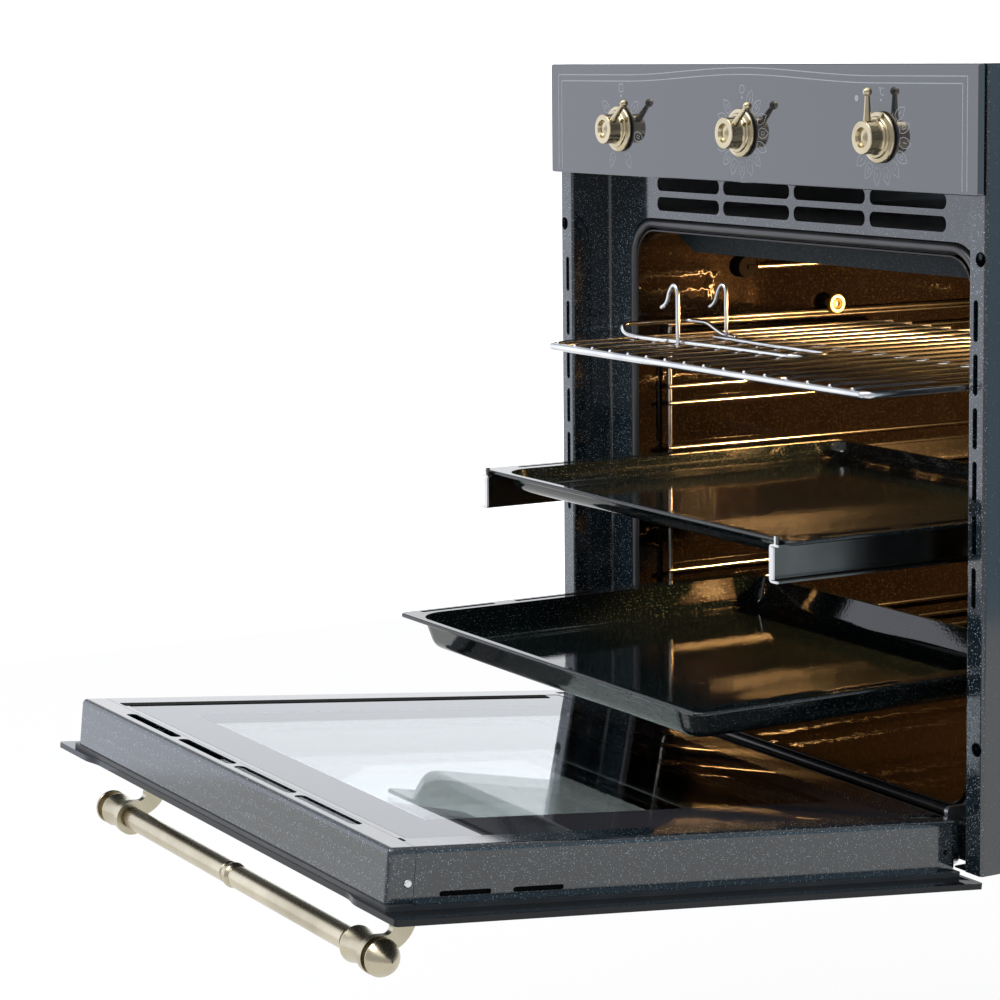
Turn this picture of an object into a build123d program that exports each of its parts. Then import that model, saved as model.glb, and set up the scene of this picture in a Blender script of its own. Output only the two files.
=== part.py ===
from build123d import *
from math import asin, cos, pi, sin, sqrt
import os

# A built-in electric oven for a 60 cm cabinet, with its door open and its shelves pulled out.
# It is modelled with X to the right, Y from the flange's front face into the cabinet and Z up
# from the foot of the frame, with the door shut. The door is then turned open, and the whole
# is moved so that the origin is the centre of the four cabinet screws.

# Front and casing, in millimetres
front_width = 595.0
front_height = 595.0
frame_margin = 0.2
flange_width = 19.9
frame_depth = 20.0
fascia_y = 40.0
seat_lip = 15.0
frame_sheet = 1.2
casing_sheet = 0.8
liner_sheet = 1.0
casing_depth = 545.0
casing_height = front_height - 7.0
casing_fold = 14.0
weld = 0.1
wire_sink = 0.6
soft_gap = 0.3

# Cabinet screws and the flange's openings
screw_spacing_x = front_width - 14.0
screw_spacing_z = front_height - 235.0
screw_low_z = 94.5
screw_hole_radius = 2.5
access_hole_radius = 5.5
flange_slot_x = front_width / 2 - 11.7
flange_slot_low_z = front_height / 2 - 83.7
flange_slot_pitch = 39.2
flange_slot_count = 6
flange_slot_length = 30.5
flange_slot_width = 5.2

# Control panel and its controls
panel_low_z = front_height - 94.5
panel_front_y = -8.45
panel_thickness = 5.25
backing_half = front_width / 2 - 5.5
backing_low_z = panel_low_z + 3.5
backing_high_z = front_height - 3.0
backing_rim = 1.5
backing_rim_half = backing_half - 22.0
backing_rim_inset = 4.0
knob_pitch = front_width / 2 - 114.5
knob_z = front_height - 54.6
knob_gap = 0.8
knob_disc_radius = 19.5
knob_hub_radius = 12.5
knob_height = 18.0
knob_dish = 2.3
stem_radius = 3.0
running_gap = 0.08
stem_length = 21.0
pointer_standoff = 12.7
pointer_reach = 34.0
pointer_ball_radius = 3.5
pointer_spigot_radius = 2.4
pointer_angles = {"left": 50.0, "middle": 50.0, "right": 0.0}

# Air vents in the fascia
vent_count = 4
vent_pitch = (front_width - 188.2) / vent_count
vent_length = vent_pitch - 6.1
vent_height = 12.0
vent_radius = 5.5
vent_row_z = panel_low_z - 26.2
vent_row_pitch = 17.2

# Mouth, seal groove and cavity
mouth_half = front_width / 2 - 66.5
mouth_low_z = 31.5
mouth_high_z = panel_low_z - 51.0
mouth_radius = 25.0
lip_front_y = 39.0
lip_thickness = 2.2
groove_width = 12.0
groove_floor_y = 46.0
gasket_diameter = 8.5
gasket_front_y = 37.3
cavity_half = mouth_half + 9.0
cavity_floor_z = mouth_low_z - 3.5
cavity_ceiling_z = mouth_high_z + 2.5
cavity_back_y = frame_depth + casing_depth - 78.0
cavity_radius = 20.0
insulation_side = 26.0
insulation_low_z = cavity_floor_z + 26.0

# Shelf positions
level_count = 6
level_first_z = mouth_low_z + 44.2
level_pitch = (mouth_high_z - mouth_low_z - 86.8) / level_count
shelf_gap = 0.3
guide_rise = 15.0
rack_wire_diameter = 4.0
upright_diameter = 5.0
upright_x = cavity_half - 7.5
upright_front_y = 73.0
upright_rear_y = cavity_back_y - 48.0
rack_foot_z = cavity_floor_z + 32.0
nut_y = 256.0
nut_z = cavity_ceiling_z - 77.4
nut_radius = 6.35
nut_head = 4.0
nut_neck_radius = 4.0

# Trays, rails, wire rack and spit cradle, all pulled out
tray_half = mouth_half - 2.0
tray_rim = 3.5
tray_corner = 7.0
tray_sheet = 1.2
tray_draft = 20.0
tray_front_ledge = 6.0
basin_corner = 26.0
basin_fillet = 12.5
deep_level = 1
deep_front_y = -204.0
deep_length = 362.0
deep_depth = 29.0
deep_ledge = 17.0
shallow_front_y = -122.0
shallow_length = 367.0
shallow_depth = 18.0
shallow_ledge = 22.0
rim_slot_width = 5.5
rail_level = 3
rail_inner_x = tray_half - 20.0
rail_width = 10.0
rail_height = 28.5
rail_top_z = level_first_z + rail_level * level_pitch + 6.7
rail_front_y = -128.0
rail_length = 373.0
rail_sheet = 1.5
rail_fold = 2.25
rail_peg_radius = 2.2
rail_peg_height = 6.0
rail_play = 0.3
rail_track_front_y = 78.0
rail_track_rear_y = upright_rear_y + 1.0
rack_level = 5
rack_half = mouth_half - 1.5
rack_bar_diameter = 6.5
rack_front_y = -52.0
rack_length = 357.0
rack_wire_count = 15
rack_wire_pitch = (2 * rack_half - 46.0) / (rack_wire_count - 1)
rack_thin_wire = 3.2
cradle_wire = 4.0
cradle_right_x = 40.0
cradle_left_x = -200.0
cradle_front_y = 14.0
cradle_rear_y = 56.0
cradle_posts = ((-123.0, 8.0), (-134.0, 67.0))
cradle_lift = 9.0

# Heating, lamp and fan
element_diameter = 6.5
element_half = cavity_half - 50.0
element_step = 60.0
deflector_half = cavity_half - 20.0
deflector_front_y = 75.8
deflector_low_z = cavity_ceiling_z - 21.0
deflector_z = cavity_ceiling_z - 6.0
fan_z = (cavity_floor_z + cavity_ceiling_z) / 2
fan_radius = 75.0
fan_cover_y = cavity_back_y - 36.0
fan_cover_half = cavity_half - 70.0
fan_shaft_radius = 4.0
ring_radius = 92.0
ring_bends = 16
lamp_x = cavity_half - 35.0
lamp_z = cavity_ceiling_z - 52.0
lamp_radius = 21.0
probe_y = 157.0
probe_z = cavity_ceiling_z - 40.0

# Cooling air
duct_half = cavity_half - 28.0
duct_high_z = vent_row_z + vent_row_pitch + vent_height / 2 + 2.5
duct_low_z = cavity_ceiling_z + 15.0
blower_y = cavity_back_y - 102.0
blower_radius = 95.0
blower_height = 62.0
rotor_radius = 78.0
rotor_shaft_radius = 3.0

# Mains supply
gland_x = cavity_half - 50.0
gland_z = casing_height - 168.0
gland_hole_radius = 10.5
gland_bore_radius = 5.0

# Door, measured from the glass: s up from its hinge edge, h in from its inner face
door_low_z = 7.65
door_glass_y = -4.1
door_height = panel_low_z - 10.5
glass_thickness = 4.35
glass_corner = 3.0
glass_notch = 3.7
glass_notch_half = front_width / 2 - 80.5
glass_ramp = 26.0
spacer_height = 3.5
box_half = front_width / 2 - 26.5
box_low_s = 6.0
box_high_s = door_height - 6.0
box_join_s = box_high_s - 20.3
box_seam = 0.3
box_inner_h = 41.07
box_sheet = 1.2
box_fold = 4.0
box_foot = 5.0
window_half = box_half - 25.0
window_low_s = 44.0
window_high_s = box_high_s - 26.0
window_ledge = 8.0
glass_play = 1.0
glass_flush = 0.3
inner_glass_thickness = 4.0
middle_glass_half = window_half - 14.0
middle_glass_low_s = window_low_s + 22.0
middle_glass_high_s = window_high_s - 12.0
middle_glass_h = 18.0
door_vent_count = 4
door_vent_pitch = (2 * box_half - 134.0) / door_vent_count
door_vent_length = door_vent_pitch - 8.0
door_vent_width = 9.0
door_vent_s = box_high_s - 13.0
side_slot_length = 40.0
side_slot_width = 3.6
side_slot_h = 9.0
rivet_s = box_high_s - 15.3
rivet_h = 17.0
rivet_head = 3.0
rivet_shank = 1.8
hinge_s = -2.5
hinge_h = 10.3
hinge_x = front_width / 2 - 44.5
hinge_pin_radius = 2.5
arm_thickness = 4.0
arm_reach = 37.8
arm_bar = 10.0
arm_rear_y = 150.0
ear_thickness = 2.0
ear_gap = 0.4
ear_well = 12.0
door_angle = 84.15

# Handle
handle_s = door_height - 25.0
handle_h = -42.0
handle_bar_radius = 8.5
handle_collar_x = front_width / 2 - 98.5
handle_collar_length = 26.5
handle_collar_radius = 13.2
handle_collar_waist = 10.8
handle_bracket_width = 6.0
handle_bracket_pitch = front_width - 169.5
handle_bar_end_x = handle_collar_x - 9.5
handle_neck_radius = 7.0
handle_socket = 12.0
handle_eye_radius = 13.6
handle_finial_neck = 8.8
handle_finial_x = front_width / 2 - 61.5
handle_finial_radius = 13.4
handle_tip_x = handle_finial_x + 16.5
handle_arm_inner_s = -9.8
handle_arm_outer_s = -26.6
handle_screw_s = handle_s + (handle_arm_inner_s + handle_arm_outer_s) / 2
handle_screw_radius = 2.0

# Worked out from the sizes above
half_frame = front_width / 2 - frame_margin
flange_inner = half_frame - flange_width
wall_outer = flange_inner + frame_sheet
screw_centre_z = screw_low_z + screw_spacing_z / 2
rear_y = frame_depth + casing_depth
groove_outer = groove_width + frame_sheet
liner_outer = cavity_half + liner_sheet
liner_top_z = cavity_ceiling_z + liner_sheet
liner_rear_y = cavity_back_y + liner_sheet
rack_wire_x = upright_x - (upright_diameter + rack_wire_diameter) / 2 + wire_sink
hinge_y = door_glass_y + hinge_h
hinge_z = door_low_z + hinge_s
hinge_line = Axis((0, hinge_y, hinge_z), (1, 0, 0))
ear_inner = arm_thickness / 2 + ear_gap
ear_outer = ear_inner + ear_thickness
handle_bracket_x = handle_collar_x + handle_collar_length
handle_screw_x = handle_bracket_x + handle_bracket_width / 2
handle_screw_places = (handle_screw_x, handle_screw_x - handle_bracket_pitch)
grill_leg_x = 40.0
grill_z = deflector_z - soft_gap - element_diameter / 2
ring_leg_x = 14.0
ring_leg_z = fan_z + sqrt(ring_radius**2 - ring_leg_x**2)
knobs = {"left": -knob_pitch, "middle": 0.0, "right": knob_pitch}
to_origin = Pos(0, -frame_depth, -screw_centre_z)


def block(x0, x1, y0, y1, z0, z1):
    """Box between two opposite corners."""
    centre = Pos((x0 + x1) / 2, (y0 + y1) / 2, (z0 + z1) / 2)
    return centre * Box(x1 - x0, y1 - y0, z1 - z0)


def rounded(x0, x1, z0, z1, radius):
    """Rounded rectangle between two opposite corners of a sketch."""
    return Pos((x0 + x1) / 2, (z0 + z1) / 2) * RectangleRounded(x1 - x0, z1 - z0, radius)


def prism_y(sketch, y0, y1):
    """Sketch seen from the front, carried from y0 back to y1."""
    plane = Plane(origin=(0, y1, 0), x_dir=(1, 0, 0), z_dir=(0, -1, 0))
    return extrude(plane * sketch, amount=y1 - y0)


def prism_x(sketch, x0, x1):
    """Sketch of Y and Z, carried from x0 to x1."""
    plane = Plane(origin=(x0, 0, 0), x_dir=(0, 1, 0), z_dir=(1, 0, 0))
    return extrude(plane * sketch, amount=x1 - x0)


def rod_y(x, z, radius, y0, y1):
    """Round bar along Y."""
    return prism_y(Pos(x, z) * Circle(radius), y0, y1)


def rod_x(y, z, radius, x0, x1):
    """Round bar along X."""
    return prism_x(Pos(y, z) * Circle(radius), x0, x1)


def rod_z(x, y, radius, z0, z1):
    """Round bar along Z."""
    return Pos(x, y, (z0 + z1) / 2) * Cylinder(radius, z1 - z0)


def turned_x(profile, y, z):
    """Solid turned about a line along X, from (x, radius) points or curves in a closed face."""
    return Pos(0, y, z) * revolve(profile, axis=Axis.X)


def bent_wire(points, diameter, radius, close=False):
    """Round wire along straight runs with rounded corners."""
    path = FilletPolyline(*points, radius=radius, close=close)
    start = Plane(origin=path @ 0, z_dir=path % 0)
    return sweep(start * Circle(diameter / 2), path=path)


def both_sides(shape):
    """The shape and its twin on the other side of the middle plane."""
    return [shape, mirror(shape, about=Plane.YZ)]


def fuse(*shapes):
    """One solid from pieces that meet."""
    whole = shapes[0]
    for shape in shapes[1:]:
        whole = whole + shape
    return whole


def mouth_outline(grow, radius):
    """Outline of the mouth, grown on every side."""
    return rounded(
        -mouth_half - grow, mouth_half + grow, mouth_low_z - grow, mouth_high_z + grow, radius
    )


def recess_outline(grow):
    """Outline of the seal's recess round the mouth."""
    return mouth_outline(groove_width + grow, mouth_radius + 0.6 * groove_width + grow)


def level_top(level):
    """Height of the top of a shelf's supporting wires."""
    return level_first_z + level * level_pitch


def save(name, *shapes):
    """Writes one sub-part, moved to the origin that the whole part uses."""
    moved = [to_origin * solid for shape in shapes for solid in shape.solids()]
    whole = Compound(children=moved) if len(moved) > 1 else moved[0]
    export_step(whole, f"parts/{name}.step")


# Front frame: one folded sheet for both channels and the fascia
def front_frame():
    half_sheet = frame_sheet / 2
    right = [
        (half_frame - seat_lip, frame_depth - half_sheet),
        (half_frame - half_sheet, frame_depth - half_sheet),
        (half_frame - half_sheet, half_sheet),
        (flange_inner + half_sheet, half_sheet),
        (flange_inner + half_sheet, fascia_y + half_sheet),
    ]
    left = [(-x, y) for x, y in reversed(right)]
    bends = [1.6, 2.4, 1.8, 3.4, 3.4, 1.8, 2.4, 1.6]
    frame = extrude(trace(FilletPolyline(*right, *left, radius=bends), frame_sheet), amount=front_height)
    frame += block(-wall_outer, wall_outer, frame_sheet, fascia_y, front_height - frame_sheet, front_height)
    return_low = casing_sheet
    frame += block(
        -flange_inner, flange_inner, fascia_y, fascia_y + casing_fold, return_low, return_low + frame_sheet
    )
    frame += block(-flange_inner, flange_inner, frame_sheet, fascia_y, 0, frame_sheet)
    frame -= prism_y(recess_outline(0), fascia_y - 1, groove_floor_y)
    frame += prism_y(recess_outline(frame_sheet) - recess_outline(0), fascia_y, groove_floor_y)
    vent = prism_y(RectangleRounded(vent_length, vent_height, vent_radius), fascia_y - 1, fascia_y + 3)
    first_vent = -vent_pitch * (vent_count - 1) / 2
    frame -= [
        Pos(first_vent + i * vent_pitch, 0, vent_row_z + row * vent_row_pitch) * vent
        for i in range(vent_count)
        for row in range(2)
    ]
    flange_slot = prism_y(SlotOverall(flange_slot_length, flange_slot_width, rotation=90), -1, 2 * frame_sheet)
    for side in (-1, 1):
        frame -= [
            Pos(side * flange_slot_x, 0, flange_slot_low_z + i * flange_slot_pitch) * flange_slot
            for i in range(flange_slot_count)
        ]
        for z in (screw_low_z, screw_low_z + screw_spacing_z):
            x = side * screw_spacing_x / 2
            frame -= rod_y(x, z, access_hole_radius, -1, 2 * frame_sheet)
            frame -= rod_y(x, z, screw_hole_radius, frame_depth - 2 * frame_sheet, frame_depth + 1)
        frame -= block(
            side * hinge_x - ear_well, side * hinge_x + ear_well, frame_sheet - 1, hinge_y + ear_well, -1,
            frame_sheet + 1,
        )
        arm_low_z = hinge_z + arm_reach - arm_bar
        frame -= block(
            side * hinge_x - arm_thickness, side * hinge_x + arm_thickness, fascia_y - 1,
            fascia_y + 2 * frame_sheet, arm_low_z - 4, arm_low_z + arm_bar + 4,
        )
    return frame


# Enamelled cavity with the mouth's lip and the flange that closes the seal's groove
def cavity_liner():
    tub = prism_y(
        rounded(
            -liner_outer, liner_outer, cavity_floor_z - liner_sheet, liner_top_z,
            cavity_radius + liner_sheet,
        ),
        groove_floor_y, liner_rear_y,
    )
    tub += prism_y(recess_outline(frame_sheet), groove_floor_y, groove_floor_y + liner_sheet)
    tub -= prism_y(
        rounded(-cavity_half, cavity_half, cavity_floor_z, cavity_ceiling_z, cavity_radius),
        groove_floor_y + liner_sheet, cavity_back_y,
    )
    lip = prism_y(
        mouth_outline(lip_thickness, mouth_radius + lip_thickness), lip_front_y,
        groove_floor_y + liner_sheet,
    )
    lip -= prism_y(mouth_outline(0, mouth_radius), lip_front_y - 1, groove_floor_y + 2)
    lip = fillet(lip.edges().filter_by_position(Axis.Y, lip_front_y - 0.01, lip_front_y + 0.01), 0.9)
    tub -= prism_y(mouth_outline(0, mouth_radius), groove_floor_y - 1, groove_floor_y + 2)
    tub += lip
    holes = [(0, fan_z, fan_shaft_radius + 3), (lamp_x, lamp_z, lamp_radius - 6)]
    holes += [(side * grill_leg_x, grill_z, element_diameter / 2 + 0.5) for side in (-1, 1)]
    holes += [(side * ring_leg_x, ring_leg_z, element_diameter / 2 + 0.5) for side in (-1, 1)]
    for x, z, radius in holes:
        tub -= rod_y(x, z, radius, cavity_back_y - 1, liner_rear_y + 1)
    return tub


def door_gasket():
    centre_y = gasket_front_y + gasket_diameter / 2
    middle = lip_thickness + (groove_width - lip_thickness) / 2
    plane = Plane(origin=(0, centre_y, 0), x_dir=(1, 0, 0), z_dir=(0, -1, 0))
    path = (plane * mouth_outline(middle, mouth_radius + 0.6 * middle)).face().outer_wire()
    start = Plane(origin=path @ 0, z_dir=path % 0)
    return sweep(start * Circle(gasket_diameter / 2), path=path)


# Casing panels behind the cabinet's front
def side_panel():
    panel = block(wall_outer, wall_outer + casing_sheet, frame_depth + 2, rear_y, 0, casing_height)
    louvre = prism_x(SlotOverall(60, 4), wall_outer - 1, wall_outer + 2)
    panel -= [
        Pos(0, rear_y - 185 + 80 * i, casing_height - 88 + 16 * k) * louvre for i in range(2) for k in range(4)
    ]
    return panel


def base_panel():
    panel = block(-wall_outer, wall_outer, fascia_y + frame_sheet, rear_y, 0, casing_sheet)
    for fold in both_sides(
        block(wall_outer - casing_sheet, wall_outer, fascia_y + 2 * casing_fold, rear_y - 2 * casing_fold,
              casing_sheet, casing_fold)
    ):
        panel += fold
    slot = SlotOverall(70, 5)
    panel -= [Pos(-150 + 100 * i, rear_y - 95, 0) * extrude(slot, amount=3, both=True) for i in range(4)]
    return panel


def top_panel():
    panel = block(
        -wall_outer, wall_outer, fascia_y + frame_sheet, rear_y, casing_height - casing_sheet, casing_height
    )
    for fold in both_sides(
        block(wall_outer - casing_sheet, wall_outer, fascia_y + 2 * casing_fold, rear_y - 2 * casing_fold,
              casing_height - casing_fold, casing_height - casing_sheet)
    ):
        panel += fold
    slot = extrude(SlotOverall(70, 5, rotation=90), amount=3, both=True)
    panel -= [Pos(-100 + 20 * i, rear_y - 85, casing_height) * slot for i in range(11)]
    return panel


def back_panel():
    panel = block(
        -wall_outer, wall_outer, rear_y - casing_sheet, rear_y, casing_sheet, casing_height - casing_sheet
    )
    for fold in both_sides(
        block(wall_outer - casing_sheet, wall_outer, rear_y - casing_fold, rear_y - casing_sheet,
              casing_fold, casing_height - casing_fold)
    ):
        panel += fold
    slot = prism_y(SlotOverall(46, 4.5), rear_y - 3, rear_y + 1)
    panel -= [
        Pos(-90 + 60 * i, 0, z + 14 * k) * slot
        for i in range(4) for k in range(4) for z in (60, casing_height - 88)
    ]
    panel -= rod_y(gland_x, gland_z, gland_hole_radius, rear_y - 3, rear_y + 1)
    return panel


def insulation():
    high = duct_low_z - soft_gap
    blanket = block(
        -liner_outer - insulation_side, liner_outer + insulation_side, groove_floor_y + 6, cavity_back_y,
        insulation_low_z, high,
    )
    hollow = prism_y(
        rounded(
            -liner_outer - soft_gap, liner_outer + soft_gap, cavity_floor_z - 40, liner_top_z + soft_gap,
            cavity_radius,
        ),
        groove_floor_y, cavity_back_y + 1,
    )
    return blanket - hollow


# Control panel: glass, its backing and the three controls
def control_panel():
    half = front_width / 2
    glass = prism_y(
        rounded(-half, half, panel_low_z, front_height, 2.0), panel_front_y, panel_front_y + panel_thickness
    )
    glass = chamfer(glass.edges().filter_by_position(Axis.Y, panel_front_y - 0.01, panel_front_y + 0.01), 0.6)
    for x in knobs.values():
        glass -= rod_y(x, knob_z, stem_radius + 1.5, panel_front_y - 1, 0)
    return glass


def panel_backing():
    rear_of_glass = panel_front_y + panel_thickness
    carrier = prism_y(
        rounded(-backing_half, backing_half, backing_low_z, backing_high_z, 3.0), rear_of_glass, 0
    )
    outer = (-backing_rim_half, backing_rim_half, backing_low_z + backing_rim_inset,
             backing_high_z - backing_rim_inset)
    rim = rounded(*outer, 3.0) - rounded(
        outer[0] + backing_rim, outer[1] - backing_rim, outer[2] + backing_rim, outer[3] - backing_rim, 1.5
    )
    carrier += prism_y(rim, rear_of_glass + 1, fascia_y)
    for x in knobs.values():
        carrier -= rod_y(x, knob_z, stem_radius + 1.5, rear_of_glass - 1, 1)
    return carrier


def control_body(place):
    """Switch, timer or thermostat on the back of the panel, with the bore that the stem turns in."""
    if place == "left":
        body = block(-20, 20, 0, 26, -18, 18) + block(-16, 16, 26, 31, -14, 14)
        body += block(-14, -10, 31, 37, -10, 10)
        body += block(10, 14, 31, 37, -10, 10)
    elif place == "middle":
        body = block(-34, 34, 0, 22, -24, 24)
        body += rod_y(0, 0, 20, 22, 34)
    else:
        body = rod_y(0, 0, 19, 0, 24)
        body += block(-24, 24, 24, 30, -12, 12)
        body += block(-18, -14, 30, 37, -6, 6)
        body += block(14, 18, 30, 37, -6, 6)
    depth = panel_front_y - knob_gap + stem_length + 2
    body -= rod_y(0, 0, stem_radius + running_gap, -1, depth)
    return Pos(knobs[place], 0, knob_z) * body


# Knobs: a turned brass body with its stem, and a pointer rod with a ball
def knob(place):
    gap = knob_gap
    disc = knob_disc_radius
    hub = knob_hub_radius
    height = knob_height
    dish = hub - 5.1
    outline = [
        Line((0, gap), (disc - 1.0, gap)),
        ThreePointArc((disc - 1.0, gap), (disc, gap + 1.3), (disc - 0.8, gap + 2.6)),
        Line((disc - 0.8, gap + 2.6), (hub + 3.4, gap + 3.5)),
        ThreePointArc((hub + 3.4, gap + 3.5), (hub + 2.9, gap + 4.7), (hub + 1.8, gap + 5.2)),
        ThreePointArc((hub + 1.8, gap + 5.2), (hub + 0.4, gap + 6.0), (hub, gap + 7.4)),
        Line((hub, gap + 7.4), (hub, height - 0.7)),
        ThreePointArc((hub, height - 0.7), (hub - 0.2, height - 0.2), (hub - 0.7, height)),
        Line((hub - 0.7, height), (dish + 0.4, height)),
        Line((dish + 0.4, height), (dish - 0.6, height - knob_dish)),
        Line((dish - 0.6, height - knob_dish), (0, height - 0.2)),
        Line((0, height - 0.2), (0, gap)),
    ]
    profile = make_face(Plane.XZ * Wire(outline))
    body = revolve(profile, axis=Axis.Z)
    body -= Pos(0, 0, pointer_standoff) * Rot(X=-90) * Cylinder(
        pointer_spigot_radius, hub - 3, align=(Align.CENTER, Align.CENTER, Align.MIN)
    ).moved(Pos(0, 0, 4))
    body += Pos(0, 0, gap) * Cylinder(
        stem_radius, stem_length, align=(Align.CENTER, Align.CENTER, Align.MAX)
    )
    return place_knob(place, body)


def knob_pointer(place):
    ball = pointer_ball_radius
    reach = pointer_reach
    root = knob_hub_radius + 0.1
    neck = sqrt(ball**2 - 1.9**2)
    outline = [
        Line((0, 4), (pointer_spigot_radius, 4)),
        Line((pointer_spigot_radius, 4), (pointer_spigot_radius, root)),
        Line((pointer_spigot_radius, root), (3.2, root)),
        Line((3.2, root), (2.7, root + 5)),
        Line((2.7, root + 5), (1.9, reach - neck)),
        ThreePointArc((1.9, reach - neck), (ball, reach), (0, reach + ball)),
        Line((0, reach + ball), (0, 4)),
    ]
    profile = make_face(Plane.XZ * Wire(outline))
    rod = revolve(profile, axis=Axis.Z)
    return place_knob(place, Pos(0, 0, pointer_standoff) * Rot(X=-90) * rod)


def place_knob(place, shape):
    """Turns a knob modelled along Z, with its pointer towards +Y, on to the panel."""
    upright = Rot(X=90) * shape
    turned = Rot(Y=pointer_angles[place]) * upright
    return Pos(knobs[place], panel_front_y, knob_z) * turned


# Side racks of chromed wire, and the nuts that hold them
def side_rack():
    long_wire = rack_wire_diameter / 2
    thick_wire = upright_diameter / 2
    top_rod_z = nut_z - nut_neck_radius - shelf_gap - thick_wire
    corners = [
        (upright_x, upright_front_y, rack_foot_z), (upright_x, upright_rear_y, rack_foot_z),
        (upright_x, upright_rear_y, top_rod_z), (upright_x, upright_front_y, top_rod_z),
    ]
    rack = bent_wire(corners, upright_diameter, 9, close=True)
    rack += rod_z(upright_x, nut_y - 2 * nut_radius, thick_wire - 0.2, rack_foot_z, top_rod_z)
    front_end = upright_front_y - thick_wire - 1.5
    rear_end = upright_rear_y + thick_wire + 1.5
    for level in range(level_count):
        for z in (level_top(level) - long_wire, level_top(level) - long_wire + guide_rise):
            rack += rod_y(rack_wire_x, z, long_wire, front_end, rear_end)
    for y in (upright_front_y, upright_rear_y):
        for z in (rack_foot_z + 45, top_rod_z - 30):
            rack += rod_x(y, z, thick_wire - 0.4, upright_x, cavity_half)
    return rack


def thumb_nut():
    head_x = upright_x - upright_diameter / 2 - shelf_gap
    outline = [
        (head_x - nut_head, 0), (head_x - nut_head, nut_radius - 1), (head_x - nut_head + 0.8, nut_radius),
        (head_x, nut_radius), (head_x, nut_neck_radius), (cavity_half, nut_neck_radius), (cavity_half, 0),
    ]
    return turned_x(make_face(Polyline(*outline, close=True)), nut_y, nut_z)


# Telescopic rails: tracks on the side racks, and the members that carry the shallow tray
def rail_track():
    moving_inside = rail_top_z - rail_sheet
    low_inside = rail_top_z - rail_height + rail_sheet
    web_x = rail_inner_x + rail_width + 0.6 + 4.5
    top = moving_inside - 2.2
    low = low_inside + 2.2
    track = block(web_x - rail_sheet, web_x, rail_track_front_y, rail_track_rear_y, low, top)
    inner_x = rail_inner_x + rail_sheet + 1.0
    track += block(inner_x, web_x, rail_track_front_y, rail_track_rear_y, top - rail_sheet, top)
    track += block(inner_x, web_x, rail_track_front_y, rail_track_rear_y, low, low + rail_sheet)
    slider_x = rail_inner_x + rail_width - 0.8
    slider_rear = rail_track_front_y + 40
    track += block(inner_x, slider_x, rail_track_front_y, slider_rear, top, moving_inside - rail_play)
    track += block(inner_x, slider_x, rail_track_front_y, slider_rear, low_inside + rail_play, low)
    hook_z = level_top(rail_level) + shelf_gap
    hook_x = rack_wire_x + rack_wire_diameter / 2 + shelf_gap
    for y in (rail_track_front_y + 25, rail_track_rear_y - 45):
        track += block(web_x, hook_x + rail_sheet, y, y + 20, hook_z, hook_z + rail_sheet)
        track += block(hook_x, hook_x + rail_sheet, y, y + 20, hook_z - 6, hook_z)
    return track


def rail_slide():
    """Folded channel with a narrow end plate and a peg that stops the tray."""
    half_sheet = rail_sheet / 2
    low = rail_top_z - rail_height
    outer_x = rail_inner_x + rail_width
    rear = rail_front_y + rail_length
    folds = FilletPolyline(
        (outer_x, low + half_sheet), (rail_inner_x + half_sheet, low + half_sheet),
        (rail_inner_x + half_sheet, rail_top_z - half_sheet), (outer_x, rail_top_z - half_sheet),
        radius=rail_fold,
    )
    slide = prism_y(trace(folds, rail_sheet), rail_front_y, rear)
    slide += block(
        rail_inner_x + half_sheet, rail_inner_x + rail_width / 2, rail_front_y, rail_front_y + rail_sheet,
        low + rail_fold, rail_top_z - rail_fold,
    )
    peg_y = shallow_front_y - shelf_gap - rail_peg_radius
    peg_low = rail_top_z - half_sheet
    slide += rod_z(rail_inner_x + rail_width / 2, peg_y, rail_peg_radius, peg_low, rail_top_z + rail_peg_height)
    return slide


# Pressed trays with a rolled rim
def tray(rim_low_z, front_y, length, depth, side_ledge, slots):
    centre_y = front_y + length / 2
    rim_top = rim_low_z + tray_rim
    plan = RectangleRounded(2 * tray_half, length, tray_corner)
    rim = Pos(0, centre_y, rim_low_z) * extrude(plan, amount=tray_rim)
    rim = fillet(rim.edges().group_by(Axis.Z)[0] + rim.edges().group_by(Axis.Z)[-1], tray_rim / 2 - 0.15)
    top_plane = Pos(0, centre_y, rim_top)

    def basin(grow):
        mouth = RectangleRounded(
            2 * (tray_half - side_ledge + grow), length - 2 * (tray_front_ledge - grow), basin_corner + grow
        )
        deep = depth - tray_rim / 2 - tray_sheet + grow
        body = extrude(mouth, amount=-deep, taper=tray_draft)
        return top_plane * fillet(body.edges().group_by(Axis.Z)[0], basin_fillet + grow)

    whole = rim + basin(tray_sheet) - basin(0)
    slot_x = tray_half - side_ledge / 2
    for low_y, high_y in slots:
        slot = Pos(0, (low_y + high_y) / 2, rim_top) * extrude(
            SlotOverall(high_y - low_y, rim_slot_width, rotation=90), amount=2 * tray_rim, both=True
        )
        whole -= [Pos(slot_x, 0, 0) * slot, Pos(-slot_x, 0, 0) * slot]
    return whole


def tray_deep():
    rim_low = level_top(deep_level) + shelf_gap
    slots = [(deep_front_y + 17, deep_front_y + 89), (deep_front_y + 109, deep_front_y + 188)]
    return tray(rim_low, deep_front_y, deep_length, deep_depth, deep_ledge, slots)


def tray_shallow():
    slots = [(shallow_front_y + 30, shallow_front_y + 100), (shallow_front_y + 120, shallow_front_y + 200)]
    return tray(rail_top_z, shallow_front_y, shallow_length, shallow_depth, shallow_ledge, slots)


# Wire rack on the fifth pair of wires above the lowest, and the spit cradle that stands on it
def rack_bar_height():
    """Height at which the rack's round side bars clear the round wires that carry them."""
    side_step = rack_wire_x - (rack_half - rack_bar_diameter / 2)
    reach = (rack_wire_diameter + rack_bar_diameter) / 2 + shelf_gap
    return level_top(rack_level) - rack_wire_diameter / 2 + sqrt(reach**2 - side_step**2)


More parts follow.
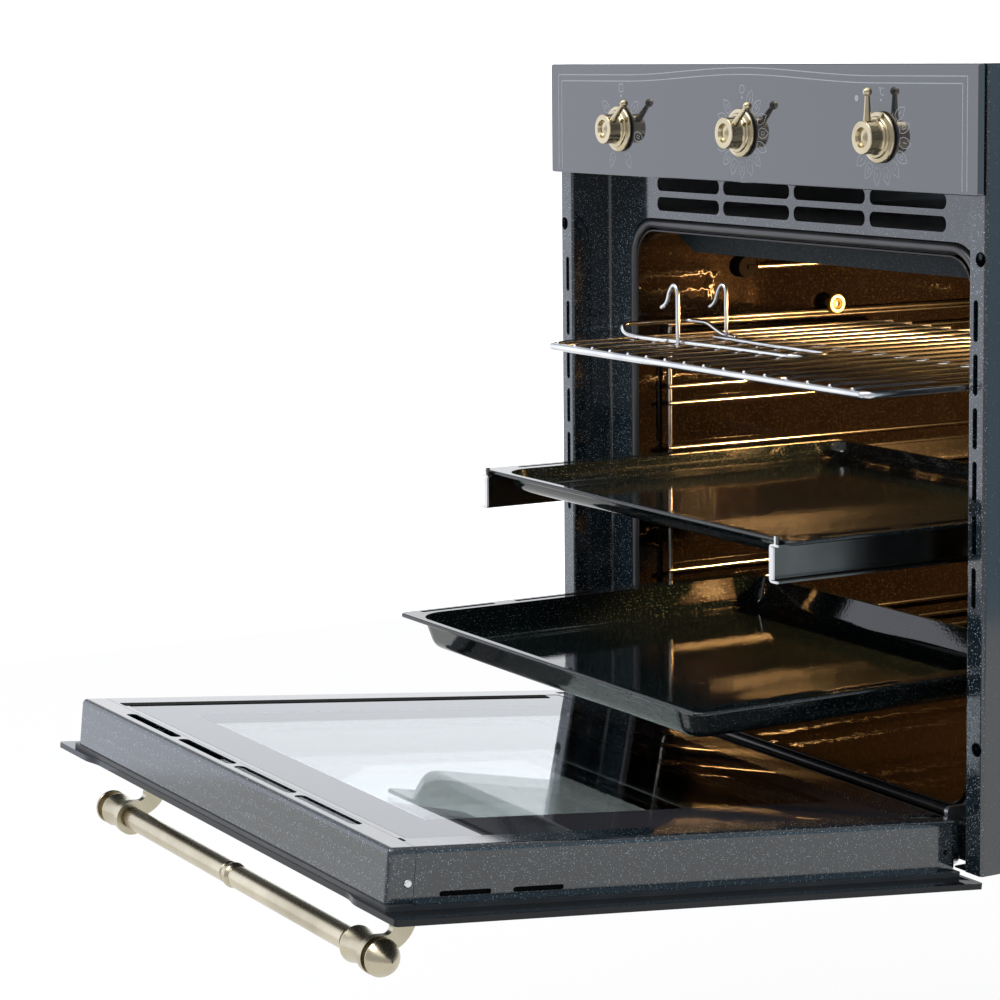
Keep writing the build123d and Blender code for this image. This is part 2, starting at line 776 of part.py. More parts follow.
rack_bar_z = rack_bar_height()
rack_thin_z = rack_bar_z + (rack_bar_diameter + rack_thin_wire) / 2 - weld


def wire_rack():
    half = rack_half - rack_bar_diameter / 2
    rear_y_rack = rack_front_y + rack_length
    notch_y = rear_y_rack - 80
    right = [
        (half, rack_front_y, rack_bar_z), (half, notch_y, rack_bar_z),
        (half - 7, notch_y + 6, rack_bar_z - 5), (half, notch_y + 12, rack_bar_z),
        (half, rear_y_rack, rack_bar_z),
    ]
    left = [(-x, y, z) for x, y, z in reversed(right)]
    corners = [12, 3, 2, 3, 12, 12, 3, 2, 3, 12]
    path = FilletPolyline(*right, *left, radius=corners, close=True)
    start = Plane(origin=path @ 0, z_dir=path % 0)
    rack = sweep(start * Circle(rack_bar_diameter / 2), path=path)
    first = -rack_wire_pitch * (rack_wire_count - 1) / 2
    front_end = rack_front_y - rack_bar_diameter / 2 + 0.8
    rear_end = rear_y_rack + rack_bar_diameter / 2 - 0.8
    for i in range(rack_wire_count):
        rack += rod_y(first + i * rack_wire_pitch, rack_thin_z, rack_thin_wire / 2, front_end, rear_end)
    brace_z = rack_thin_z - (rack_thin_wire + cradle_wire) / 2 + weld
    rack += rod_x((rack_front_y + rear_y_rack) / 2, brace_z, cradle_wire / 2, -half, half)
    return rack


def spit_cradle():
    z = rack_thin_z + (rack_thin_wire + cradle_wire) / 2 + 0.1
    front_post, rear_post = cradle_posts
    raised = z + cradle_lift
    middle_x = (front_post[0] + cradle_right_x) / 2
    loop = bent_wire(
        [
            (middle_x, cradle_front_y, z), (cradle_right_x, cradle_front_y, z),
            (cradle_right_x, cradle_rear_y, z), (middle_x, cradle_rear_y, z),
        ],
        cradle_wire, 14,
    )
    loop += bent_wire(
        [
            (middle_x, cradle_rear_y, z), (middle_x - 50, cradle_rear_y, z), (*rear_post, z),
            (cradle_left_x + 32, rear_post[1] + 5, z), (cradle_left_x, rear_post[1] + 8, raised),
            (cradle_left_x, front_post[1] - 9, raised), (cradle_left_x + 32, front_post[1] - 6, z),
            (*front_post, z), (middle_x - 50, cradle_front_y, z), (middle_x, cradle_front_y, z),
        ],
        cradle_wire, 8,
    )
    for x, y in cradle_posts:
        loop += bent_wire(
            [(x, y, z), (x, y, z + 46), (x - 12, y, z + 46), (x - 17, y, z + 29), (x - 27, y, z + 26)],
            cradle_wire - 0.4, [6, 5, 4],
        )
    return loop


# Heating, lamp, fan and probe
def grill_element():
    near_y = deflector_front_y + 34
    far_y = cavity_back_y - 62
    half = [
        (grill_leg_x, liner_rear_y + 14), (grill_leg_x, far_y), (element_half, far_y), (element_half, near_y),
        (element_half - element_step, near_y), (element_half - element_step, far_y - 50),
        (element_half - 2 * element_step, far_y - 50), (element_half - 2 * element_step, near_y),
    ]
    points = [(x, y, grill_z) for x, y in half] + [(-x, y, grill_z) for x, y in reversed(half)]
    return bent_wire(points, element_diameter, 16)


def grill_deflector():
    top = block(-deflector_half, deflector_half, deflector_front_y, fan_cover_y - 6, deflector_z, deflector_z + 1.2)
    corner = 24
    front = Polyline(
        (-deflector_half, deflector_z), (-deflector_half, deflector_low_z + corner / 2),
        (-deflector_half + corner, deflector_low_z), (deflector_half - corner, deflector_low_z),
        (deflector_half, deflector_low_z + corner / 2), (deflector_half, deflector_z), close=True,
    )
    plate = top + prism_y(make_face(front), deflector_front_y, deflector_front_y + 1.2)
    for x in (40 - deflector_half, deflector_half - 40):
        for y in (110, cavity_back_y - 87):
            plate += block(x - 10, x + 10, y - 10, y + 10, deflector_z + 1.2, cavity_ceiling_z)
    return plate


def bottom_element():
    z = cavity_floor_z - liner_sheet - soft_gap - element_diameter / 2
    far_y = cavity_back_y - 67
    wide = element_half - 10
    half = [(60, liner_rear_y + 14), (60, far_y), (wide, far_y), (wide, 120)]
    points = [(x, y, z) for x, y in half] + [(-x, y, z) for x, y in reversed(half)]
    return bent_wire(points, element_diameter, 25)


def ring_element():
    """One tube bent round the fan, with both ends turned back through the rear wall."""
    centre_y = cavity_back_y - 16
    gap = asin(ring_leg_x / ring_radius)
    turns = [gap + 2 * (pi - gap) * i / ring_bends for i in range(ring_bends + 1)]
    loop = [(ring_radius * sin(turn), centre_y, fan_z + ring_radius * cos(turn)) for turn in turns]
    ends = [(side * ring_leg_x, liner_rear_y + 14, ring_leg_z) for side in (1, -1)]
    bends = [7] + [0.85 * ring_radius] * (ring_bends - 1) + [7]
    return bent_wire([ends[0], *loop, ends[1]], element_diameter, bends)


def fan_cover():
    low, high = cavity_floor_z + 34, cavity_ceiling_z - 28
    cover = prism_y(rounded(-fan_cover_half, fan_cover_half, low, high, 12), fan_cover_y, cavity_back_y)
    cover -= prism_y(
        rounded(-fan_cover_half + 1, fan_cover_half - 1, low + 1, high - 1, 11), fan_cover_y + 1,
        cavity_back_y + 1,
    )
    petal = Pos(0, 46) * SlotOverall(44, 7, rotation=90)
    grille = [Pos(0, fan_z) * Rot(Z=30 * i) * petal for i in range(12)]
    side_slot = SlotOverall(40, 8, rotation=90)
    for i in range(5):
        slot_z = fan_z - 60 + 30 * i
        grille += [Pos(side * (fan_cover_half - 30), slot_z) * side_slot for side in (-1, 1)]
    cover -= [prism_y(opening, fan_cover_y - 1, fan_cover_y + 2) for opening in grille]
    return cover


def fan_impeller():
    rear = cavity_back_y - 6
    fan = rod_y(0, fan_z, fan_radius, rear - 1.2, rear)
    fan += rod_y(0, fan_z, 10, rear - 14, rear)
    blade = block(-0.6, 0.6, rear - 22, rear - 1.2, 34, fan_radius - 1)
    for i in range(12):
        fan += Pos(0, 0, fan_z) * Rot(Y=30 * i) * blade
    fan += rod_y(0, fan_z, fan_shaft_radius, rear - 18, liner_rear_y + 32)
    return fan


def fan_motor():
    motor = block(-55, 55, liner_rear_y, liner_rear_y + 3, fan_z - 14, fan_z + 14)
    motor += rod_y(0, fan_z, 30, liner_rear_y + 3, liner_rear_y + 45)
    motor += rod_y(0, fan_z, 12, liner_rear_y + 45, liner_rear_y + 52)
    motor -= rod_y(0, fan_z, fan_shaft_radius + running_gap, liner_rear_y - 1, liner_rear_y + 34)
    return motor


def lamp_glass():
    front = cavity_back_y - 15
    cap = rod_y(lamp_x, lamp_z, lamp_radius, front, cavity_back_y)
    cap = fillet(cap.edges().group_by(Axis.Y)[0], 5)
    cap -= rod_y(lamp_x, lamp_z, lamp_radius - 2.5, front + 2.5, cavity_back_y + 1)
    return cap


def lamp():
    lamp = rod_y(lamp_x, lamp_z, 19, liner_rear_y, liner_rear_y + 3)
    lamp += rod_y(lamp_x, lamp_z, 13, liner_rear_y, liner_rear_y + 30)
    lamp += rod_y(lamp_x, lamp_z, 5, cavity_back_y - 3, liner_rear_y)
    return lamp + Pos(lamp_x, cavity_back_y - 3, lamp_z) * Sphere(7.5)


def thermostat_probe():
    rod_x_place = -cavity_half + 7
    probe = rod_y(rod_x_place, probe_z, 2.5, probe_y, cavity_back_y)
    return probe + rod_x(probe_y, probe_z, 9.5, -cavity_half, rod_x_place + 1)


# Cooling fan above the cavity, blowing out through the fascia's vents
def cooling_fan_housing():
    def shell(grow):
        duct = block(
            -duct_half + grow, duct_half - grow, fascia_y + frame_sheet - 20 * (grow > 0), blower_y,
            duct_low_z + grow, duct_high_z - grow,
        )
        scroll = rod_z(0, blower_y, blower_radius - grow, duct_low_z + grow, duct_low_z + blower_height - grow)
        return duct + scroll

    front = block(
        -duct_half - 5, duct_half + 5, 0, fascia_y + frame_sheet, duct_low_z - 5, duct_high_z + 5
    )
    housing = shell(0) - shell(casing_sheet) - front
    top = duct_low_z + blower_height
    housing -= rod_z(0, blower_y, 42, top - 5, top + 5)
    for side in (-1, 1):
        housing += block(side * 50 - 5, side * 50 + 5, blower_y - 6, blower_y + 6, top, top + 12)
    return housing


def cooling_rotor():
    low = duct_low_z + casing_sheet + 6
    high = duct_low_z + blower_height - casing_sheet - 5
    rotor = rod_z(0, blower_y, rotor_radius, low, low + 1.2)
    blade = block(-0.6, 0.6, 60, rotor_radius - 1, low + 1.2, high)
    for i in range(18):
        rotor += Pos(0, blower_y, 0) * Rot(Z=20 * i) * blade
    rotor += rod_z(0, blower_y, 9, low, low + 16)
    rotor += rod_z(0, blower_y, rotor_shaft_radius, low, duct_low_z + blower_height + 26)
    return rotor


def cooling_motor():
    top = duct_low_z + blower_height
    motor = block(-58, 58, blower_y - 8, blower_y + 8, top + 12, top + 14)
    motor += rod_z(0, blower_y, 26, top + 14, top + 42)
    motor -= rod_z(0, blower_y, rotor_shaft_radius + running_gap, top + 10, top + 28)
    return motor


def terminal_block():
    rear = rear_y - casing_sheet
    body = block(gland_x - 30, gland_x + 30, rear - 24, rear, gland_z + 40, gland_z + 62)
    for i in range(5):
        body -= rod_y(gland_x - 24 + 12 * i, gland_z + 51, 3, rear - 30, rear - 14)
    return body


def cable_gland():
    gland = rod_y(gland_x, gland_z, 15, rear_y, rear_y + 3)
    gland += rod_y(gland_x, gland_z, 11.5, rear_y + 3, rear_y + 9)
    gland += rod_y(gland_x, gland_z, gland_hole_radius, rear_y - casing_sheet, rear_y)
    nut = extrude(RegularPolygon(15, 6, rotation=30), amount=6)
    nut_plane = Plane(origin=(gland_x, rear_y - casing_sheet, gland_z), x_dir=(1, 0, 0), z_dir=(0, -1, 0))
    gland += nut_plane * nut
    return gland - rod_y(gland_x, gland_z, gland_bore_radius, rear_y - 10, rear_y + 12)


# Hinges: fixed arms from receivers in the cabinet, and clevis plates with pins on the door
def hinge_arm():
    leg_front = hinge_y - 4.2
    leg_rear = leg_front + arm_bar
    high = hinge_z + arm_reach
    side = make_face(
        FilletPolyline(
            (leg_front, hinge_z), (leg_front, high), (arm_rear_y, high), (arm_rear_y, high - arm_bar),
            (leg_rear, high - arm_bar), (leg_rear, hinge_z), radius=[4, 2, 2, 3], close=False,
        )
        + Line((leg_rear, hinge_z), (leg_front, hinge_z))
    )
    side += Pos(hinge_y, hinge_z) * Circle(5.0)
    side -= Pos(hinge_y, hinge_z) * Circle(hinge_pin_radius + running_gap)
    return prism_x(side, hinge_x - arm_thickness / 2, hinge_x + arm_thickness / 2)


def hinge_receiver():
    front = fascia_y + frame_sheet
    low = hinge_z + arm_reach - arm_bar
    inner = arm_thickness / 2 + soft_gap
    body = block(
        hinge_x - inner - 3, hinge_x + inner + 3, front, arm_rear_y + 12, low - soft_gap - 3,
        low + arm_bar + soft_gap + 2,
    )
    return body - block(
        hinge_x - inner, hinge_x + inner, front - 1, arm_rear_y + soft_gap, low - soft_gap,
        low + arm_bar + soft_gap,
    )


def hinge_plate():
    web_low = door_glass_y + spacer_height
    low_h = web_low - hinge_y
    side = Circle(5.5)
    side += make_face(
        Polyline(
            (-5.5, 0), (low_h, 12), (low_h, 57), (-3, 57), (8, 34), (8, 14), (5.5, 0), close=True
        )
    )
    side -= Circle(hinge_pin_radius)
    ears = []
    for inner, outer in ((-ear_outer, -ear_inner), (ear_inner, ear_outer)):
        ears.append(prism_x(Pos(hinge_y, hinge_z) * side, hinge_x + inner, hinge_x + outer))
    web = block(
        hinge_x - ear_outer, hinge_x + ear_outer, web_low, web_low + 1.5, hinge_z + 12, hinge_z + 57
    )
    return fuse(web, *ears)


def hinge_pin():
    pin = rod_x(hinge_y, hinge_z, hinge_pin_radius, hinge_x - ear_outer - 1.5, hinge_x + ear_outer + 1.5)
    for low, high in ((-ear_outer - 1.5, -ear_outer), (ear_outer, ear_outer + 1.5)):
        pin += rod_x(hinge_y, hinge_z, 4.0, hinge_x + low, hinge_x + high)
    return pin


# Door, modelled shut
def door_block(x0, x1, h0, h1, s0, s1):
    """Box given by the door's own distances from its glass and its hinge edge."""
    return block(x0, x1, door_glass_y + h0, door_glass_y + h1, door_low_z + s0, door_low_z + s1)


def door_sheet(sketch, h0, h1):
    """Sketch of X and s, carried through the door's thickness."""
    return prism_y(Pos(0, door_low_z) * sketch, door_glass_y + h0, door_glass_y + h1)


def door_outer_glass():
    half = front_width / 2
    low = door_height - glass_notch
    top = half - glass_corner
    near = glass_notch_half
    far = near + glass_ramp
    right_ramp = Bezier((near, low), (near + 0.5 * glass_ramp, low), (far - 0.5 * glass_ramp, door_height),
                        (far, door_height))
    left_ramp = Bezier((-far, door_height), (-far + 0.5 * glass_ramp, door_height),
                       (-near - 0.5 * glass_ramp, low), (-near, low))
    outline = Wire([
        Line((-near, low), (near, low)), right_ramp, Line((far, door_height), (top, door_height)),
        RadiusArc((top, door_height), (half, door_height - glass_corner), glass_corner),
        Line((half, door_height - glass_corner), (half, glass_corner)),
        RadiusArc((half, glass_corner), (top, 0), glass_corner), Line((top, 0), (-top, 0)),
        RadiusArc((-top, 0), (-half, glass_corner), glass_corner),
        Line((-half, glass_corner), (-half, door_height - glass_corner)),
        RadiusArc((-half, door_height - glass_corner), (-top, door_height), glass_corner),
        Line((-top, door_height), (-far, door_height)), left_ramp,
    ])
    glass = door_sheet(make_face(outline), -glass_thickness, 0)
    for x in handle_screw_places:
        glass -= rod_y(
            x, door_low_z + handle_screw_s, handle_screw_radius,
            door_glass_y - glass_thickness - 1, door_glass_y + 1,
        )
    return glass


def door_spacer():
    outer = box_half + box_foot
    ring = rounded(-outer, outer, box_low_s - 2, box_high_s + 1.5, 3)
    ring -= rounded(-window_half + 2, window_half - 2, window_low_s - 16, window_high_s + 8, 3)
    return door_sheet(ring, 0, spacer_height)


def door_shell(s0, s1, low_closed):
    """Folded sheet box, open towards the glass and at one end."""
    def solid(grow):
        low = s0 + grow if low_closed else s0 - 5 * (grow > 0)
        high = s1 + 5 * (grow > 0) if low_closed else s1 - grow
        body = door_block(
            -box_half + grow, box_half - grow, spacer_height - 5 * (grow > 0), box_inner_h - grow, low, high
        )
        inner_face = body.edges().filter_by_position(
            Axis.Y, door_glass_y + box_inner_h - grow - 0.01, door_glass_y + box_inner_h - grow + 0.01
        )
        end_z = door_low_z + (low if low_closed else high)
        rounded_edges = inner_face.filter_by(Axis.Z) + inner_face.filter_by(Axis.X).filter_by_position(
            Axis.Z, end_z - 0.01, end_z + 0.01
        )
        corners = body.edges().filter_by(Axis.Y).filter_by_position(Axis.Z, end_z - 0.01, end_z + 0.01)
        return fillet(rounded_edges + corners, box_fold - grow)

    return solid(0) - solid(box_sheet)


def door_frame():
    frame = door_shell(box_low_s, box_join_s, True)
    for side in (-1, 1):
        foot = sorted((side * (box_half - box_sheet), side * (box_half + box_foot)))
        frame += door_block(*foot, spacer_height, spacer_height + 1, box_low_s + box_fold, box_join_s)
        tongue = sorted((side * (box_half - 2 * box_sheet), side * (box_half - box_sheet)))
        frame += door_block(*tongue, 8, 30, box_join_s - 12, box_high_s - box_fold)
    ledge_h = box_inner_h - glass_flush - inner_glass_thickness
    ledge = rounded(-window_half - box_sheet, window_half + box_sheet, window_low_s - box_sheet,
                    window_high_s + box_sheet, 4)
    frame += door_sheet(ledge, ledge_h - box_sheet, box_inner_h - box_sheet / 2)
    frame -= door_sheet(
        rounded(-window_half, window_half, window_low_s, window_high_s, 3), ledge_h, box_inner_h + 1
    )
    frame -= door_sheet(
        rounded(-window_half + window_ledge, window_half - window_ledge, window_low_s + window_ledge,
                window_high_s - window_ledge, 3), ledge_h - 3, box_inner_h + 1
    )
    for side in (-1, 1):
        x = side * hinge_x
        frame -= door_block(
            x - ear_outer - 0.6, x + ear_outer + 0.6, spacer_height - 1, box_inner_h - 3, box_low_s - 1,
            box_low_s + box_sheet + 3,
        )
        frame -= door_block(
            x - arm_thickness + 0.5, x + arm_thickness - 0.5, box_inner_h - 11, box_inner_h + 1,
            box_low_s - 1, window_low_s - 3,
        )
        for low_s in (box_join_s - 116.7, box_join_s - 59.7):
            slot = Pos(door_glass_y + side_slot_h, door_low_z + low_s + side_slot_length / 2) * SlotOverall(
                side_slot_length, side_slot_width, rotation=90
            )
            frame -= prism_x(slot, *sorted((side * (box_half - 6), side * (box_half + 1))))
        frame -= rod_x(door_glass_y + 17.9, door_low_z + 17.1, 2, *sorted((side * (box_half - 6),
                       side * (box_half + 1))))
        frame -= rod_x(
            door_glass_y + rivet_h, door_low_z + rivet_s, rivet_shank,
            *sorted((side * (box_half - 6), side * (box_half + 1))),
        )
    return frame


def door_top_profile():
    profile = door_shell(box_join_s + box_seam, box_high_s, False)
    slot = Pos(0, door_vent_s) * SlotOverall(door_vent_length, door_vent_width)
    first = -door_vent_pitch * (door_vent_count - 1) / 2
    for i in range(door_vent_count):
        profile -= door_sheet(Pos(first + i * door_vent_pitch, 0) * slot, box_inner_h - 3, box_inner_h + 1)
    for side in (-1, 1):
        profile -= rod_x(
            door_glass_y + rivet_h, door_low_z + rivet_s, rivet_shank,
            *sorted((side * (box_half - 6), side * (box_half + 1))),
        )
    return profile


def door_rivet():
    y = door_glass_y + rivet_h
    z = door_low_z + rivet_s
    head = rod_x(y, z, rivet_head, box_half, box_half + 1.2)
    head = fillet(head.edges().group_by(Axis.X)[-1], 0.9)
    return head + rod_x(y, z, rivet_shank, box_half - 2 * box_sheet, box_half)


def door_inner_glass():
    low, high = window_low_s + glass_play, window_high_s - glass_play
    outline = rounded(-window_half + glass_play, window_half - glass_play, low, high, 2)
    return door_sheet(
        outline, box_inner_h - glass_flush - inner_glass_thickness, box_inner_h - glass_flush
    )


def door_middle_glass():
    outline = rounded(-middle_glass_half, middle_glass_half, middle_glass_low_s, middle_glass_high_s, 2)
    return door_sheet(outline, middle_glass_h, middle_glass_h + inner_glass_thickness)


def glass_holder():
    glass_top = middle_glass_h + inner_glass_thickness
    inner = middle_glass_half - 5
    ends = (middle_glass_low_s + 4, middle_glass_high_s - 6)
    holder = door_block(inner, box_half - box_sheet, middle_glass_h - 1.5, middle_glass_h, *ends)
    holder += door_block(middle_glass_half, middle_glass_half + 1.5, middle_glass_h, glass_top, *ends)
    return holder + door_block(inner, middle_glass_half + 1.5, glass_top, glass_top + 1.2, *ends)


# Handle: a bar between two turned ends, on curved brackets bolted through the glass
def handle_bar():
    end = handle_bar_end_x
    left = handle_collar_x + handle_collar_length + handle_bracket_width - handle_bracket_pitch
    right = handle_collar_x + handle_socket
    r = handle_bar_radius
    neck = handle_neck_radius
    outline = [
        Line((left - handle_socket, 0), (left - handle_socket, neck)), Line((left - handle_socket, neck), (-end, neck)),
        Line((-end, neck), (-end, r)), Line((-end, r), (-9, r)), Line((-9, r), (-8, r - 0.8)),
        Line((-8, r - 0.8), (-4, r - 0.8)), ThreePointArc((-4, r - 0.8), (0, r + 1.2), (4, r - 0.8)),
        Line((4, r - 0.8), (8, r - 0.8)), Line((8, r - 0.8), (9, r)), Line((9, r), (end, r)),
        Line((end, r), (end, neck)), Line((end, neck), (right, neck)), Line((right, neck), (right, 0)),
        Line((right, 0), (left - handle_socket, 0)),
    ]
    return handle_place(revolve(make_face(Wire(outline)), axis=Axis.X))


def handle_place(shape):
    """Moves a piece modelled along X on to the handle's line."""
    return Pos(0, door_glass_y + handle_h, door_low_z + handle_s) * shape


def both_ends(shape):
    """The shape and the same one again at the bar's other end."""
    return [shape, Pos(-handle_bracket_pitch, 0, 0) * shape]


def handle_end(inner, shoulder):
    """Finial with its neck, and the spigot that fills the bracket's bore beyond the bar."""
    base = handle_finial_x
    tip = handle_tip_x
    rim = handle_finial_radius
    outline = [
        Line((inner, 0), (inner, handle_neck_radius)),
        Line((inner, handle_neck_radius), (shoulder, handle_neck_radius)),
        Line((shoulder, handle_neck_radius), (shoulder, handle_finial_neck)),
        Line((shoulder, handle_finial_neck), (base, handle_finial_neck)),
        Line((base, handle_finial_neck), (base, rim - 0.6)),
        ThreePointArc((base, rim - 0.6), (base + 0.7, rim - 0.1), (base + 1.6, rim - 0.1)),
        ThreePointArc((base + 1.6, rim - 0.1), (base + 9, 9.4), (tip - 0.8, 1.2)),
        Line((tip - 0.8, 1.2), (tip, 0)),
        Line((tip, 0), (inner, 0)),
    ]
    return handle_place(revolve(make_face(Wire(outline)), axis=Axis.X))


def handle_ends():
    eye_end = handle_bracket_x + handle_bracket_width
    right = handle_end(handle_collar_x + handle_socket, eye_end)
    left = handle_end(handle_bracket_pitch - eye_end + handle_socket, handle_bracket_pitch - handle_collar_x)
    return [mirror(left, about=Plane.YZ), right]


def handle_bracket():
    """Flared collar, eye and bent arm, cast in one. Both ends of the bar have the same casting."""
    foot = -glass_thickness - handle_h
    eye = handle_eye_radius
    inner = handle_arm_inner_s
    outer = handle_arm_outer_s
    bend = 5.0
    arm = Wire([
        Line((foot, outer), (foot, inner)), Line((foot, inner), (eye + bend, inner)),
        RadiusArc((eye + bend, inner), (eye - 0.02, inner + bend), bend),
        Line((eye - 0.02, inner + bend), (eye - 0.02, 0)), Line((eye - 0.02, 0), (0.2 * eye, 0)),
        Line((0.2 * eye, 0), (0.25 * eye, outer / 2)),
        ThreePointArc((0.25 * eye, outer / 2), (0.65 * eye, 0.78 * outer), (eye + bend, outer)),
        Line((eye + bend, outer), (foot, outer)),
    ])
    plate = make_face(arm)
    eye_end = handle_bracket_x + handle_bracket_width
    casting = prism_x(plate, handle_bracket_x, eye_end)
    start = handle_collar_x
    rim = handle_collar_radius
    waist = handle_collar_waist
    bore = handle_neck_radius
    outline = [
        Line((start, bore), (start, rim - 0.5)), Line((start, rim - 0.5), (start + 0.5, rim)),
        Line((start + 0.5, rim), (start + 1.4, rim)),
        ThreePointArc((start + 1.4, rim), (start + 11, waist + 0.6), (handle_bracket_x - 4.5, waist)),
        Line((handle_bracket_x - 4.5, waist), (handle_bracket_x - 1.6, waist)),
        ThreePointArc((handle_bracket_x - 1.6, waist), (handle_bracket_x - 0.4, waist + 0.5), (handle_bracket_x, waist + 1.7)),
        Line((handle_bracket_x, waist + 1.7), (handle_bracket_x, eye)), Line((handle_bracket_x, eye), (eye_end, eye)),
        Line((eye_end, eye), (eye_end, bore)), Line((eye_end, bore), (start, bore)),
    ]
    casting += revolve(make_face(Wire(outline)), axis=Axis.X)
    casting -= rod_x(0, 0, bore, start - 1, eye_end + 1)
    casting -= rod_y(handle_screw_x, handle_screw_s - handle_s, handle_screw_radius, foot - 8, foot + 1)
    return handle_place(casting)


def handle_screw():
    z = door_low_z + handle_screw_s
    y = door_glass_y
    screw = rod_y(handle_screw_x, z, handle_screw_radius, y - glass_thickness - 8, y)
    return screw + rod_y(handle_screw_x, z, 4.0, y, y + 2.8)


cabinet_nodes = {
    "front_frame": [front_frame()],
    "cavity_liner": [cavity_liner()],
    "door_gasket": [door_gasket()],
    "side_panel_right": [side_panel()],
    "side_panel_left": [mirror(side_panel(), about=Plane.YZ)],
    "base_panel": [base_panel()],
    "top_panel": [top_panel()],
    "back_panel": [back_panel()],
    "insulation": [insulation()],
    "control_panel": [control_panel()],
    "panel_backing": [panel_backing()],
    "selector_switch": [control_body("left")],
    "timer": [control_body("middle")],
    "thermostat": [control_body("right")],
    "side_rack_right": [side_rack()],
    "side_rack_left": [mirror(side_rack(), about=Plane.YZ)],
    "rack_thumb_nuts": both_sides(thumb_nut()),
    "rail_tracks": both_sides(rail_track()),
    "grill_element": [grill_element()],
    "grill_deflector": [grill_deflector()],
    "bottom_element": [bottom_element()],
    "ring_element": [ring_element()],
    "fan_cover": [fan_cover()],
    "fan_motor": [fan_motor()],
    "lamp_glass": [lamp_glass()],
    "lamp": [lamp()],
    "thermostat_probe": [thermostat_probe()],
    "cooling_fan_housing": [cooling_fan_housing()],
    "cooling_motor": [cooling_motor()],
    "terminal_block": [terminal_block()],
    "cable_gland": [cable_gland()],
    "hinge_receivers": both_sides(hinge_receiver()),
    "hinge_arms": both_sides(hinge_arm()),
    "fan_impeller": [fan_impeller()],
    "cooling_rotor": [cooling_rotor()],
    "wire_rack": [wire_rack()],
    "spit_cradle": [spit_cradle()],
    "tray_shallow": [tray_shallow()],
    "rail_slides": both_sides(rail_slide()),
    "tray_deep": [tray_deep()],
}
for place in knobs:
    cabinet_nodes[f"knob_{place}"] = [knob(place)]
    cabinet_nodes[f"knob_{place}_pointer"] = [knob_pointer(place)]

door_nodes = {
    "door_outer_glass": [door_outer_glass()],
    "door_spacer": [door_spacer()],
    "door_frame": [door_frame()],
    "door_top_profile": [door_top_profile()],
    "door_rivets": both_sides(door_rivet()),
    "door_middle_glass": [door_middle_glass()],
    "door_inner_glass": [door_inner_glass()],
    "glass_holders": both_sides(glass_holder()),
    "hinge_plates": both_sides(hinge_plate()),
    "hinge_pins": both_sides(hinge_pin()),
    "handle_bar": [handle_bar()],
    "handle_ends": handle_ends(),
    "handle_brackets": both_ends(handle_bracket()),
    "handle_screws": both_ends(handle_screw()),
}

os.makedirs("parts", exist_ok=True)
for name, shapes in cabinet_nodes.items():
    save(name, *shapes)
for name, shapes in door_nodes.items():
    save(name, *[shape.rotate(hinge_line, door_angle) for shape in shapes])
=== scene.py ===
import math

import bpy
import numpy as np
from mathutils import Matrix, Vector


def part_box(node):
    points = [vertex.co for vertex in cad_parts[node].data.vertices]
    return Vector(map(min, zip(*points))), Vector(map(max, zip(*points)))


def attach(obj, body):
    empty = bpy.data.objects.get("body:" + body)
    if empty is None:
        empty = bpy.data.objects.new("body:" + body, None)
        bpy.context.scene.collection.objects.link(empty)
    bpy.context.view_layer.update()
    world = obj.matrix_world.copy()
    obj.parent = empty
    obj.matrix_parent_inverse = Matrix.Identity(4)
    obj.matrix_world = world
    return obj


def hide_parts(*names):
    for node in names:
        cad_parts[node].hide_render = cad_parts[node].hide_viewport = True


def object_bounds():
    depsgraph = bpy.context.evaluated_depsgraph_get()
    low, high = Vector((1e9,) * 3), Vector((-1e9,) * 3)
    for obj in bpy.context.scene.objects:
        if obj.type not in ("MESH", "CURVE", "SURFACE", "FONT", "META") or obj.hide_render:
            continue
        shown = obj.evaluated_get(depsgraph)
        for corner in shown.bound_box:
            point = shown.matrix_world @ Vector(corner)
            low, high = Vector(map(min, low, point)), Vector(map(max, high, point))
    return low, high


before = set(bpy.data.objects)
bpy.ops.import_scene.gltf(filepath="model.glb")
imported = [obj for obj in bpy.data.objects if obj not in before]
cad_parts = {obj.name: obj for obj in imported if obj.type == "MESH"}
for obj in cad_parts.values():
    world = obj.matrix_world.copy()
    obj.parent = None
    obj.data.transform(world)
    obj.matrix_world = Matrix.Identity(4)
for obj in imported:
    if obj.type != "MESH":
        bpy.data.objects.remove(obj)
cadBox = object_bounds()
print("frame loaded", len(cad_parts), "nodes")

# The part's axes: X to the right of the front, Y into the cabinet, Z up, in metres. The drawing's
# millimetres count Y from the flange's front face and Z from the frame's foot
frameDepth = 0.020
screwCentre = 0.2745


def place(x, y, z):
    return (x / 1000, y / 1000 - frameDepth, z / 1000 - screwCentre)


